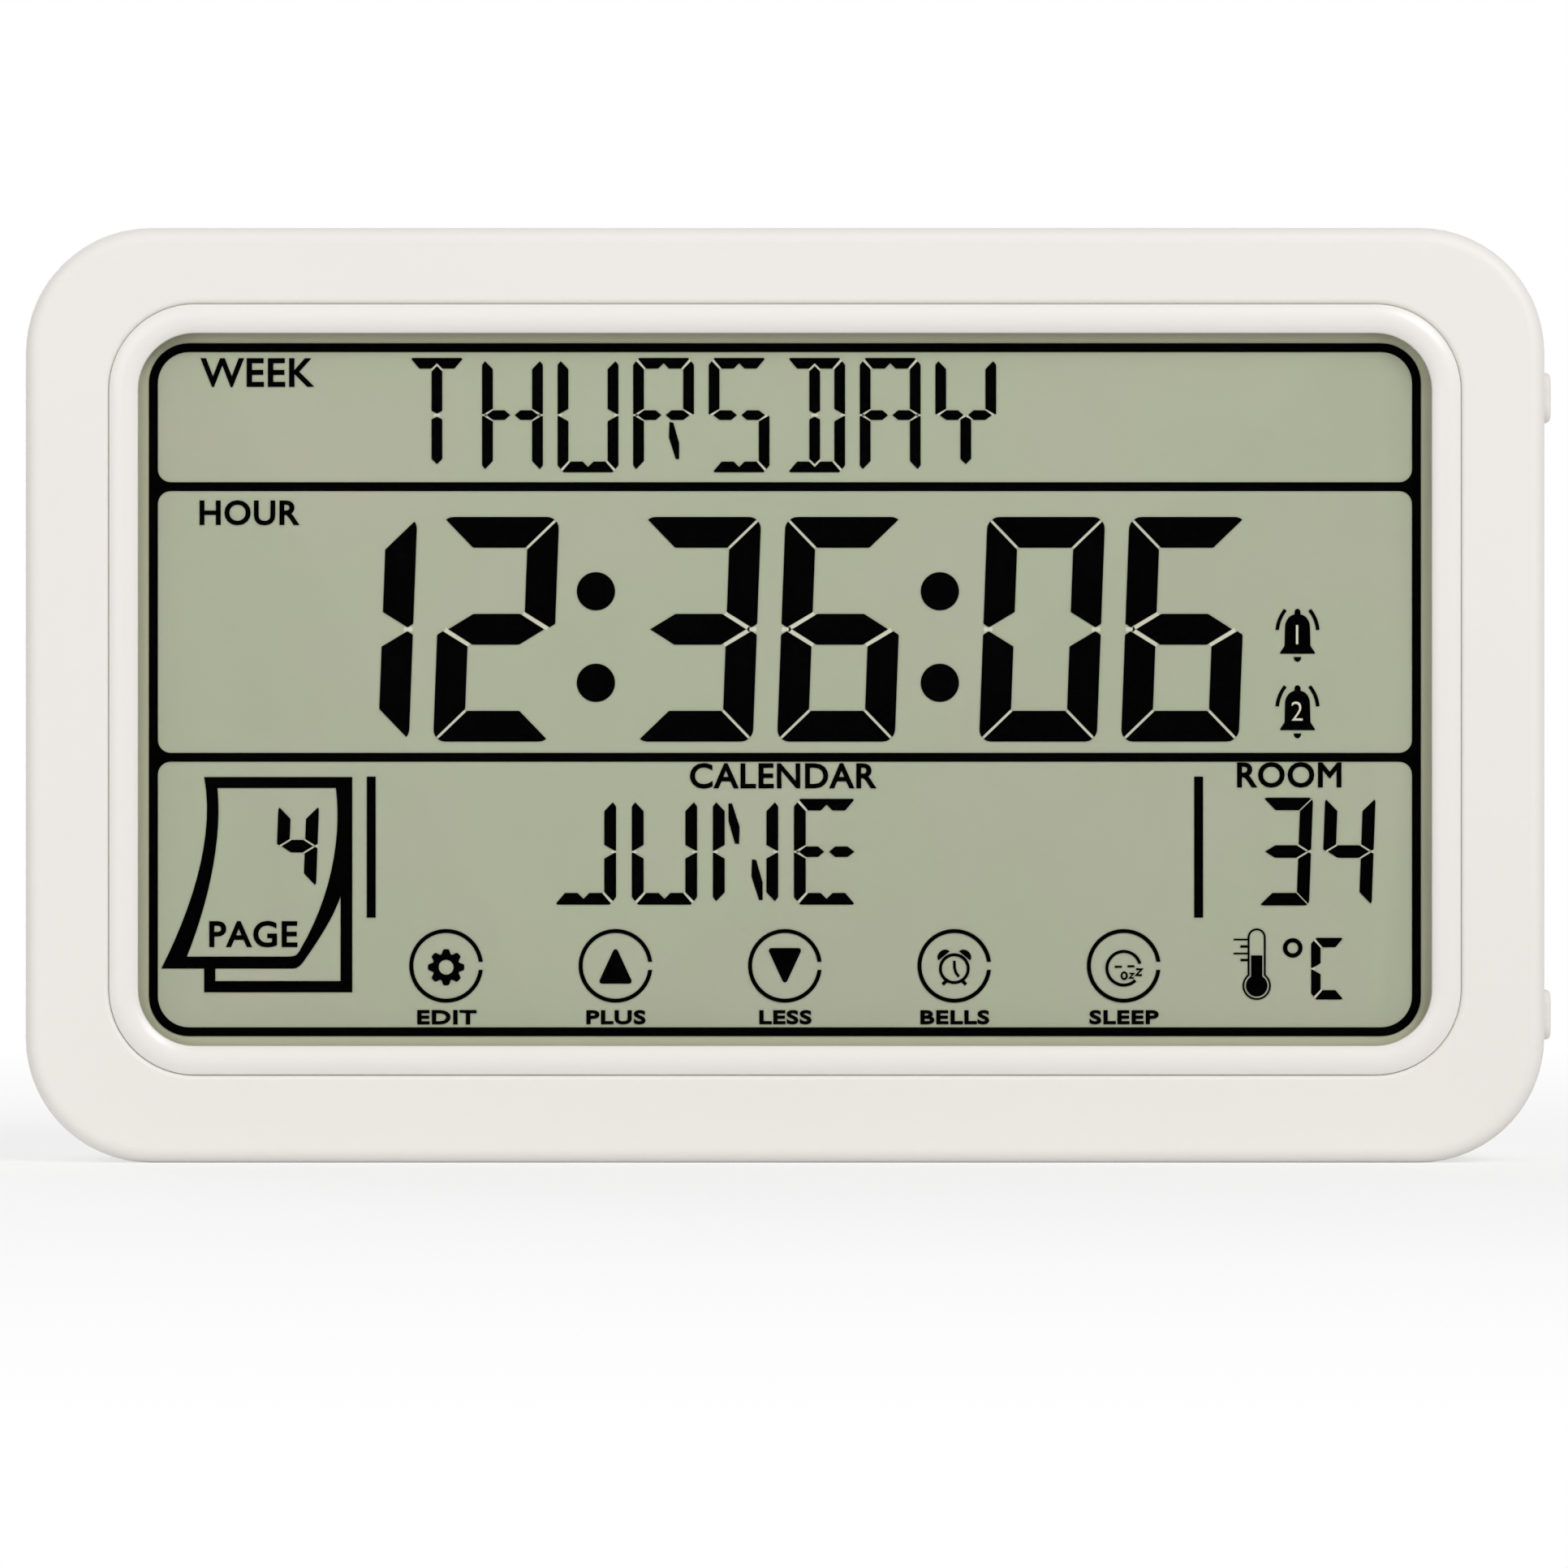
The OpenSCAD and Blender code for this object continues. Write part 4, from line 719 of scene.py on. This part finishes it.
# Contact strips: silicone rubber sliced with thin conducting layers, squeezed between the
# ledges of the glass and the board.

# Layered silicone: dark and pink stripes. The real layers are 0.1 mm and are drawn at 0.6 mm.
rubber, tree, shader = new_material("layered_silicone", {"IOR": 1.41, "Roughness": 0.6})
place = add_node(tree, "ShaderNodeTexCoord").outputs["Object"]
layer_pitch = 0.6 * mm
layers = add_node(tree, "ShaderNodeTexWave", {
    "Vector": place, "Scale": math.pi / (10 * layer_pitch)}, bands_direction="X")
two_tone(tree, shader, layers.outputs["Fac"], "#2b2b2d", "#8c7f80")
dress(rubber, "zebra_strips")

# Main board: glass-fibre laminate under green solder mask, screwed to four posts of the
# front shell. It carries the chip, the crystal, the buzzer, the sensor and the switches.

# Solder mask: glossy green, lighter over the copper tracks that run in rows below it.
board, tree, shader = new_material("green_solder_mask", {"IOR": 1.5, "Roughness": 0.3})
place = add_node(tree, "ShaderNodeTexCoord").outputs["Object"]
flat = add_node(tree, "ShaderNodeMapping", {"Vector": place, "Rotation": (math.radians(90), 0, 0)})
track_pitch = 1.6 * mm
tracks = add_node(tree, "ShaderNodeTexBrick", {
    "Vector": flat, "Color1": srgb("#1d5436"), "Color2": srgb("#215c3c"), "Mortar": srgb("#3d8a5c"),
    "Scale": 1.0, "Mortar Size": 0.18 * mm, "Brick Width": 9 * track_pitch, "Row Height": track_pitch})
bump = add_node(tree, "ShaderNodeBump", {
    "Height": tracks.outputs["Fac"], "Strength": 0.4, "Distance": 0.03 * mm})
feed(shader, {"Base Color": tracks, "Normal": bump})
dress(board, "main_board")

# Solder joints: a row of shiny domes on the back of the board where the flat tail of the
# touch film is soldered.
board_low, board_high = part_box("main_board")


def new_tree(name, sizes):
    """Geometry tree with a mesh in, its named inputs and a mesh out; gives its input sockets too."""
    tree = bpy.data.node_groups.new(name, "GeometryNodeTree")
    tree.interface.new_socket("Geometry", in_out="INPUT", socket_type="NodeSocketGeometry")
    for size, kind in sizes.items():
        tree.interface.new_socket(size, in_out="INPUT", socket_type="NodeSocket" + kind)
    tree.interface.new_socket("Geometry", in_out="OUTPUT", socket_type="NodeSocketGeometry")
    return tree, tree.nodes.new("NodeGroupInput").outputs


def close_tree(tree, geometry, material):
    """Realise the instances, set their material and end the tree."""
    real = add_node(tree, "GeometryNodeRealizeInstances", {"Geometry": geometry})
    faced = add_node(tree, "GeometryNodeSetMaterial", {"Geometry": real, "Material": material})
    add_node(tree, "NodeGroupOutput", {"Geometry": faced})


def grow(name, tree, mesh, values):
    """Piece of the case that a tree makes from a starting mesh and its named inputs."""
    start = bpy.data.meshes.new(name)
    mesh.to_mesh(start)
    mesh.free()
    piece = bpy.data.objects.new(name, start)
    bpy.context.scene.collection.objects.link(piece)
    modifier = piece.modifiers.new("grow", "NODES")
    modifier.node_group = tree
    for socket in tree.interface.items_tree:
        if socket.in_out == "INPUT" and socket.name in values:
            modifier[socket.identifier] = values[socket.name]
    made = bpy.data.meshes.new_from_object(piece.evaluated_get(bpy.context.evaluated_depsgraph_get()))
    piece.modifiers.remove(modifier)
    piece.data = made
    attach(piece, "case")
    return piece


# Tin solder: bright and a little uneven where it froze.
solder = mottled("tin_solder", {"Metallic": 1.0}, ("#c3c5c6", "#d2d3d3"),
                 patch=0.8 * mm, rough=(0.18, 0.26), grain=0.3 * mm, depth=0.01 * mm)

joint_tree, given = new_tree("solder_row", {"Count": "Int", "Pitch": "Float", "First": "Vector"})
step = add_node(joint_tree, "ShaderNodeCombineXYZ", {"X": given["Pitch"]})
row = add_node(joint_tree, "GeometryNodeMeshLine", {
    "Count": given["Count"], "Start Location": given["First"], "Offset": step})
drops = add_node(joint_tree, "GeometryNodeInstanceOnPoints", {"Points": row, "Instance": given["Geometry"]})
close_tree(joint_tree, drops, solder)
drop_r = 0.55 * mm
drop = bmesh.new()
bmesh.ops.create_uvsphere(drop, u_segments=16, v_segments=10, radius=drop_r)
for vert in drop.verts:
    vert.co.y = max(vert.co.y, 0) * 0.9
bmesh.ops.dissolve_degenerate(drop, dist=0.001 * mm, edges=drop.edges)
joint_count, joint_pitch = 8, 1.4 * mm
first_joint = (tail_x - (joint_count - 1) / 2 * joint_pitch, board_high.y, board_low.z + 4 * mm)
grow("tail_solder_joints", joint_tree, drop,
     {"Count": joint_count, "Pitch": joint_pitch, "First": first_joint})

# Controller: a bare chip glued to the board, bonded with fine wires and covered with a drop
# of black epoxy.

# Potting epoxy: deep black and glossy, with a slow wave in its skin.
epoxy = mottled("black_potting_epoxy", {"IOR": 1.55}, ("#151517", "#1d1d20"),
                patch=5 * mm, rough=(0.12, 0.22), grain=4 * mm, depth=0.1 * mm)
dress(epoxy, "controller_blob")

# Crystal: a drawn steel can with a nickel skin around a sliver of quartz that keeps the time,
# soldered flat on the board.

# Nickel-plated steel: warm bright grey with drawing lines along its length.
nickel = brushed("nickel_plated_steel", ("#c2c1bc", "#d3d2cd"),
                 length=6 * mm, spacing=0.2 * mm, rough=(0.28, 0.36))
dress(nickel, "crystal")

# Chip capacitors: fired ceramic blocks with tinned ends that steady the supply of the chip,
# soldered to the board in a row.
chip_low, chip_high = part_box("chip_capacitors")

# Ceramic with tinned caps: tan in the middle, metal for 0.45 mm at both ends.
ceramic, tree, shader = new_material("tinned_ceramic", {"IOR": 1.6, "Roughness": 0.4})
half_chip, cap_w = (chip_high.z - chip_low.z) / 2, 0.45 * mm
off_middle = add_node(tree, "ShaderNodeMath", {
    0: along(tree, "Z"), 1: chip_low.z + half_chip}, operation="SUBTRACT")
off_middle = add_node(tree, "ShaderNodeMath", {0: off_middle}, operation="ABSOLUTE")
cap = add_node(tree, "ShaderNodeMath", {0: off_middle, 1: half_chip - cap_w}, operation="GREATER_THAN")
two_tone(tree, shader, cap, "#b08f67", "#c9cacb")
feed(shader, {"Metallic": cap})
dress(ceramic, "chip_capacitors")

# Buzzer: a round black plastic pot with a small sound hole, soldered behind the sound holes
# of the rear shell.
buzzer_low, buzzer_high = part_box("buzzer")
buzzer_mid = (buzzer_low + buzzer_high) / 2

# Black PBT: dull, with the rings that turning left in its mould.
pbt, tree, shader = new_material("black_pbt", {"IOR": 1.55, "Roughness": 0.5})
place = add_node(tree, "ShaderNodeTexCoord").outputs["Object"]
centred = add_node(tree, "ShaderNodeMapping", {"Vector": place, "Location": tuple(-buzzer_mid)})
ring_pitch = 0.5 * mm
rings = add_node(tree, "ShaderNodeTexWave", {
    "Vector": centred, "Scale": math.pi / (10 * ring_pitch)}, wave_type="RINGS", rings_direction="Y")
bump = add_node(tree, "ShaderNodeBump", {
    "Height": rings.outputs["Fac"], "Strength": 0.3, "Distance": 0.02 * mm})
two_tone(tree, shader, rings.outputs["Fac"], "#1d1e20", "#27282a")
feed(shader, {"Normal": bump})
dress(pbt, "buzzer")

# Thermistor: a bead of sintered ceramic dipped in epoxy, held on two tinned legs in the
# draught of the vents.
bead_low, bead_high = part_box("thermistor")
bead_d = bead_high.x - bead_low.x

# Dipped bead: dark red and glossy above, tinned wire below.
dipped, tree, shader = new_material("dipped_bead_on_tinned_wire", {"IOR": 1.55, "Roughness": 0.25})
wire = add_node(tree, "ShaderNodeMath", {
    0: along(tree, "Y"), 1: bead_high.y - bead_d}, operation="LESS_THAN")
two_tone(tree, shader, wire, "#6d1a16", "#c9cacb")
feed(shader, {"Metallic": wire})
dress(dipped, "thermistor")

# Side switches: two tact switches with black bodies under a folded steel cover, and ivory
# plungers that the side buttons push.
switch_face, cover_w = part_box("side_switches")[1].x, 1.2 * mm

# Switch body: black nylon with a bright steel cover over its outer third.
switch_body, tree, shader = new_material("nylon_under_steel_cover", {"Roughness": 0.4})
cover = add_node(tree, "ShaderNodeMath", {
    0: along(tree, "X"), 1: switch_face - cover_w}, operation="GREATER_THAN")
two_tone(tree, shader, cover, "#202123", "#c4c6c8")
feed(shader, {"Metallic": cover})
dress(switch_body, "side_switches")

# Acetal: slippery ivory plastic with a waxy gloss.
acetal = mottled("ivory_acetal", {"IOR": 1.48}, ("#efe8d2", "#e8e0c8"),
                 patch=3 * mm, rough=(0.28, 0.36), grain=0.4 * mm, depth=0.01 * mm)
dress(acetal, "upper_plunger", "lower_plunger")

# Board screws: four thread-forming screws of plated steel, with flat heads and a cross recess,
# driven through the board into the posts of the front shell.


def screw_shape(shank_r, shank_l, pitch, head_r, head_h):
    """Screw along Y with its seat at zero, its point in front and a crossed head behind."""
    sides = 32
    steps = 6
    depth = 0.55 * head_h
    turns = [2 * math.pi * i / sides for i in range(sides)]
    mesh = bmesh.new()

    def ring(y, radius_at):
        return [mesh.verts.new((radius_at(a) * math.cos(a), y, radius_at(a) * math.sin(a))) for a in turns]

    def thread_at(y):
        def radius(turn):
            tooth = abs((y / pitch + turn / (2 * math.pi)) % 1.0 - 0.5) * 2
            taper = min(1.0, 0.35 + (y + shank_l) / (2 * shank_r))
            return shank_r * (0.78 + 0.22 * tooth) * taper
        return radius

    count = round(shank_l / pitch * steps)
    rings = [ring(-shank_l + shank_l * i / count, thread_at(-shank_l + shank_l * i / count))
             for i in range(count + 1)]
    for radius, height in ((1.0, 0.0), (1.0, 0.55), (0.96, 0.8), (0.86, 0.95), (0.74, 1.0)):
        rings.append(ring(height * head_h, lambda turn, r=radius: r * head_r))
    for lower, upper in zip(rings, rings[1:]):
        ring_wall(mesh, lower, upper)
    mesh.faces.new(rings[0])

    arm, half = 0.6 * head_r, 0.13 * head_r
    cross = [(arm, -half), (arm, half), (half, half), (half, arm), (-half, arm), (-half, half),
             (-arm, half), (-arm, -half), (-half, -half), (-half, -arm), (half, -arm), (half, -half)]
    mouth = [mesh.verts.new((x, head_h, z)) for x, z in cross]
    floor = [mesh.verts.new((0.75 * x, head_h - depth, 0.75 * z)) for x, z in cross]
    ring_wall(mesh, mouth, floor)
    mesh.faces.new(floor)
    top = rings[-1] + mouth
    outlines = [[Vector((v.co.x, v.co.z, 0)) for v in loop] for loop in (rings[-1], mouth)]
    for a, b, c in tessellate_polygon(outlines):
        mesh.faces.new((top[a], top[b], top[c]))
    soften(mesh)
    return mesh


# Zinc-plated steel: cool bright grey, softened by the plating.
zinc = mottled("zinc_plated_steel", {"Metallic": 1.0}, ("#b9bcbf", "#c9cccf"),
               patch=1.5 * mm, rough=(0.28, 0.38), grain=0.3 * mm, depth=0.01 * mm)

# Four screws stand at the corners of an upright rectangle
corner_tree, given = new_tree("screws_at_corners",
                             {"Span X": "Float", "Span Z": "Float", "Centre": "Vector"})
corners = add_node(corner_tree, "GeometryNodeMeshGrid", {
    "Size X": given["Span X"], "Size Y": given["Span Z"], "Vertices X": 2, "Vertices Y": 2})
upright = add_node(corner_tree, "GeometryNodeTransform", {
    "Geometry": corners, "Translation": given["Centre"], "Rotation": (math.radians(90), 0, 0)})
screws = add_node(corner_tree, "GeometryNodeInstanceOnPoints", {
    "Points": upright, "Instance": given["Geometry"]})
close_tree(corner_tree, screws, zinc)


def screws_for(node, shank_r, shank_l, pitch, head_r, head_h):
    """Four screws in place of a CAD node that holds them."""
    low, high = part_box(node)
    centre = (low + high) / 2
    centre.y = high.y - head_h
    piece = grow("threaded_" + node, corner_tree, screw_shape(shank_r, shank_l, pitch, head_r, head_h),
                 {"Span X": high.x - low.x - 2 * head_r, "Span Z": high.z - low.z - 2 * head_r,
                  "Centre": centre})
    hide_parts(node)


screws_for("board_screws", shank_r=0.8 * mm, shank_l=5 * mm, pitch=0.7 * mm,
           head_r=1.9 * mm, head_h=1.2 * mm)

# Side buttons: two small white caps that stand out of the right wall, each kept in by a
# flange and pushed out by its switch. They are moulded like the case.
dress(satin_abs, "upper_button", "lower_button")

# Rear shell: the deep half of the case with the battery bay, the stand's recess, the keyhole
# and the vents, moulded in the same white ABS and held by four screws.
dress(satin_abs, "rear_case")

# Case screws: four longer screws of the same kind, sunk in the corners of the rear shell and
# driven into the bosses of the front shell.
screws_for("case_screws", shank_r=1.2 * mm, shank_l=9 * mm, pitch=1.0 * mm,
           head_r=2.3 * mm, head_h=1.7 * mm)

# Battery contacts: plates stamped from nickel-plated spring steel, slid into the ends of the
# bay, with tabs soldered to the board.
dress(nickel, "contact_plus", "contact_minus", "contact_bridge")

# Contact springs: cones of nickel-plated wire, wound with three and a half turns, that press
# the flat ends of the cells.
spring_low, spring_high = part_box("battery_springs")
bridge_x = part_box("contact_bridge")[1].x
minus_low, minus_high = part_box("contact_minus")
plus_low, plus_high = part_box("contact_plus")
wire_r = 0.3 * mm
spring_sizes = ("Turns", "Base Radius", "Tip Radius", "Length", "Wire Radius")
spring_tree, given = new_tree("cone_springs", {size: "Float" for size in spring_sizes})
coil = add_node(spring_tree, "GeometryNodeCurveSpiral", {
    "Resolution": 40, "Rotations": given["Turns"], "Start Radius": given["Base Radius"],
    "End Radius": given["Tip Radius"], "Height": given["Length"]})
wire = add_node(spring_tree, "GeometryNodeCurvePrimitiveCircle", {
    "Resolution": 12, "Radius": given["Wire Radius"]})
wound = add_node(spring_tree, "GeometryNodeCurveToMesh", {
    "Curve": coil, "Profile Curve": wire, "Fill Caps": True})
smooth = add_node(spring_tree, "GeometryNodeSetShadeSmooth", {"Geometry": wound})
which = add_node(spring_tree, "GeometryNodeInputIndex")
turn = add_node(spring_tree, "ShaderNodeMath", {
    0: which, 1: math.pi, 2: math.radians(90)}, operation="MULTIPLY_ADD")
facing = add_node(spring_tree, "ShaderNodeCombineXYZ", {"Y": turn})
springs = add_node(spring_tree, "GeometryNodeInstanceOnPoints", {
    "Points": given["Geometry"], "Instance": smooth, "Rotation": facing})
close_tree(spring_tree, springs, nickel)
cell_y = (spring_low.y + spring_high.y) / 2
seat = 1.2 * wire_r
spring_feet = bmesh.new()
spring_feet.verts.new((bridge_x + seat, cell_y, (plus_low.z + plus_high.z) / 2))
spring_feet.verts.new((minus_low.x - seat, cell_y, (minus_low.z + minus_high.z) / 2))
springs = grow("wound_springs", spring_tree, spring_feet,
               {"Turns": 3.5, "Base Radius": 3.6 * mm, "Tip Radius": 2 * mm,
                "Length": 5 * mm - 2 * seat, "Wire Radius": wire_r})
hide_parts("battery_springs")

# Cells: two dry cells of the small household size, steel cans in a shrunk plastic sleeve
# with a plain band, laid in the bay with their nubs in opposite directions.

# Shrink sleeve: slate blue with a pale band at the nub end and a hard gloss.
sleeve, tree, shader = new_material("shrunk_pvc_sleeve", {"IOR": 1.54, "Roughness": 0.25})
band_from = 0.72
part = add_node(tree, "ShaderNodeSeparateXYZ", {0: add_node(tree, "ShaderNodeUVMap")})
band = add_node(tree, "ShaderNodeMath", {0: part.outputs["X"], 1: band_from}, operation="GREATER_THAN")
two_tone(tree, shader, band, "#4c6b8a", "#d9d6cc")


def round_cell(node, side):
    """Cell along X in place of a CAD node, with its nub towards the given side."""
    low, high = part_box(node)
    centre = (low + high) / 2
    length = (high.x - low.x) / mm
    r = (high.z - low.z) / 2 / mm
    flat_end = low.x if side > 0 else high.x
    profile = [(0.3, 3.3), (0, 3.7), (0, 4.4), (0.25, 4.6), (0.25, 4.9), (0.35, r - 0.1), (0.7, r),
               (length - 1.9, r), (length - 1.4, r - 0.12), (length - 1.15, 4.7), (length - 1.3, 4.4),
               (length - 1.5, 2.7), (length - 1.2, 2.2), (length - 0.25, 1.9), (length, 1.6)]
    sleeve_from, sleeve_to = 5, 9
    sides = 48
    turns = [2 * math.pi * i / sides for i in range(sides)]
    mesh = bmesh.new()
    uv = mesh.loops.layers.uv.new("along")
    rings = [[mesh.verts.new((flat_end + side * x * mm, centre.y + q * mm * math.cos(a),
                              centre.z + q * mm * math.sin(a))) for a in turns] for x, q in profile]
    for lower, upper in zip(rings, rings[1:]):
        ring_wall(mesh, lower, upper)
    mesh.faces.new(rings[0])
    mesh.faces.new(rings[-1])
    sleeved = {vert for ring in rings[sleeve_from:sleeve_to + 1] for vert in ring}
    for face in mesh.faces:
        face.smooth = len(face.verts) == 4
        face.material_index = 0 if all(vert in sleeved for vert in face.verts) else 1
        for loop in face.loops:
            loop[uv].uv = (abs(loop.vert.co.x - flat_end) / (length * mm), 0.5)
    piece = finish_piece("sleeved_" + node, mesh, sleeve)
    piece.data.materials.append(nickel)
    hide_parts(node)


round_cell("upper_cell", -1)
round_cell("lower_cell", 1)

# Battery door: a thin white cover with grip grooves, moulded like the case, that slides off to
# the left on two tongues.
dress(satin_abs, "battery_door")

# Stand: a flat white leg, moulded like the case, that swings out of its recess at the back on
# two trunnions until its heel stops it.
dress(satin_abs, "stand")

# Studio: a plain pale floor, a soft key light from the upper right, and weaker ones left and behind.
# The camera looks straight at the front, as the photograph does.


def seen_share(tree):
    """One for rays that the eye sees, also in a mirror or through glass, and zero for other light."""
    rays = add_node(tree, "ShaderNodeLightPath").outputs
    seen = add_node(tree, "ShaderNodeMath", {
        0: rays["Is Camera Ray"], 1: rays["Is Glossy Ray"]}, operation="ADD")
    seen = add_node(tree, "ShaderNodeMath", {
        0: seen, 1: rays["Is Transmission Ray"]}, operation="ADD", use_clamp=True)
    return seen


floor_half = 4.0
floor_mesh = bmesh.new()
bmesh.ops.create_grid(floor_mesh, x_segments=8, y_segments=8, size=floor_half)
floor_data = bpy.data.meshes.new("studio_floor")
floor_mesh.to_mesh(floor_data)
floor_mesh.free()
studio_floor = bpy.data.objects.new("studio_floor", floor_data)
bpy.context.scene.collection.objects.link(studio_floor)

# Paper sweep: white to the eye, with the object's own shadow kept close around it.
paper = bpy.data.materials.new("white_paper")
paper.use_nodes = True
tree = paper.node_tree
tree.nodes.clear()
place = add_node(tree, "ShaderNodeTexCoord").outputs["Object"]
distance = add_node(tree, "ShaderNodeVectorMath", {0: place}, operation="LENGTH")
glow = add_node(tree, "ShaderNodeMapRange", {
    "Value": distance.outputs["Value"], "From Min": 0.1, "From Max": 0.5, "To Min": 0.68, "To Max": 1.0})
share = add_node(tree, "ShaderNodeMath", {0: seen_share(tree), 1: glow}, operation="MULTIPLY")
matt = add_node(tree, "ShaderNodeBsdfDiffuse", {"Color": srgb("#f2f2f2")})
white = add_node(tree, "ShaderNodeEmission", {"Color": srgb("#ffffff"), "Strength": 1.0})
sheet = add_node(tree, "ShaderNodeMixShader", {0: share, 1: matt, 2: white})
add_node(tree, "ShaderNodeOutputMaterial", {"Surface": sheet})
floor_data.materials.append(paper)

world = bpy.data.worlds.new("studio_air")
world.use_nodes = True
tree = world.node_tree
tree.nodes.clear()
air_light = 0.44
strength = add_node(tree, "ShaderNodeMapRange", {
    "Value": seen_share(tree), "To Min": air_light, "To Max": 1.0})
air = add_node(tree, "ShaderNodeBackground", {"Color": srgb("#ffffff"), "Strength": strength})
add_node(tree, "ShaderNodeOutputWorld", {"Surface": air})
bpy.context.scene.world = world

aim = Vector((0, 0, 50 * mm))
for name, place, side, power in (("key_light", (1.3, -2.1, 1.7), 1.3, 36.5),
                                 ("fill_light", (-1.2, -2.0, 0.7), 1.6, 13.0),
                                 ("back_light", (-0.7, 2.0, 0.45), 1.4, 24.0)):
    lamp = bpy.data.lights.new(name, "AREA")
    lamp.size = side
    lamp.energy = power
    light = bpy.data.objects.new(name, lamp)
    towards = (aim - Vector(place)).to_track_quat("-Z", "Y")
    light.matrix_world = Matrix.Translation(place) @ towards.to_matrix().to_4x4()
    light.visible_camera = False
    bpy.context.scene.collection.objects.link(light)

camera_data = bpy.data.cameras.new("front_camera")
camera_data.lens = 250
camera_data.sensor_width = 36
camera = bpy.data.objects.new("front_camera", camera_data)
camera.location = (-0.1 * mm, -1176.5 * mm, 40.5 * mm)
camera.rotation_euler = (math.radians(90), 0, 0)
bpy.context.scene.collection.objects.link(camera)
bpy.context.scene.camera = camera
bpy.context.scene.view_settings.view_transform = "Standard"
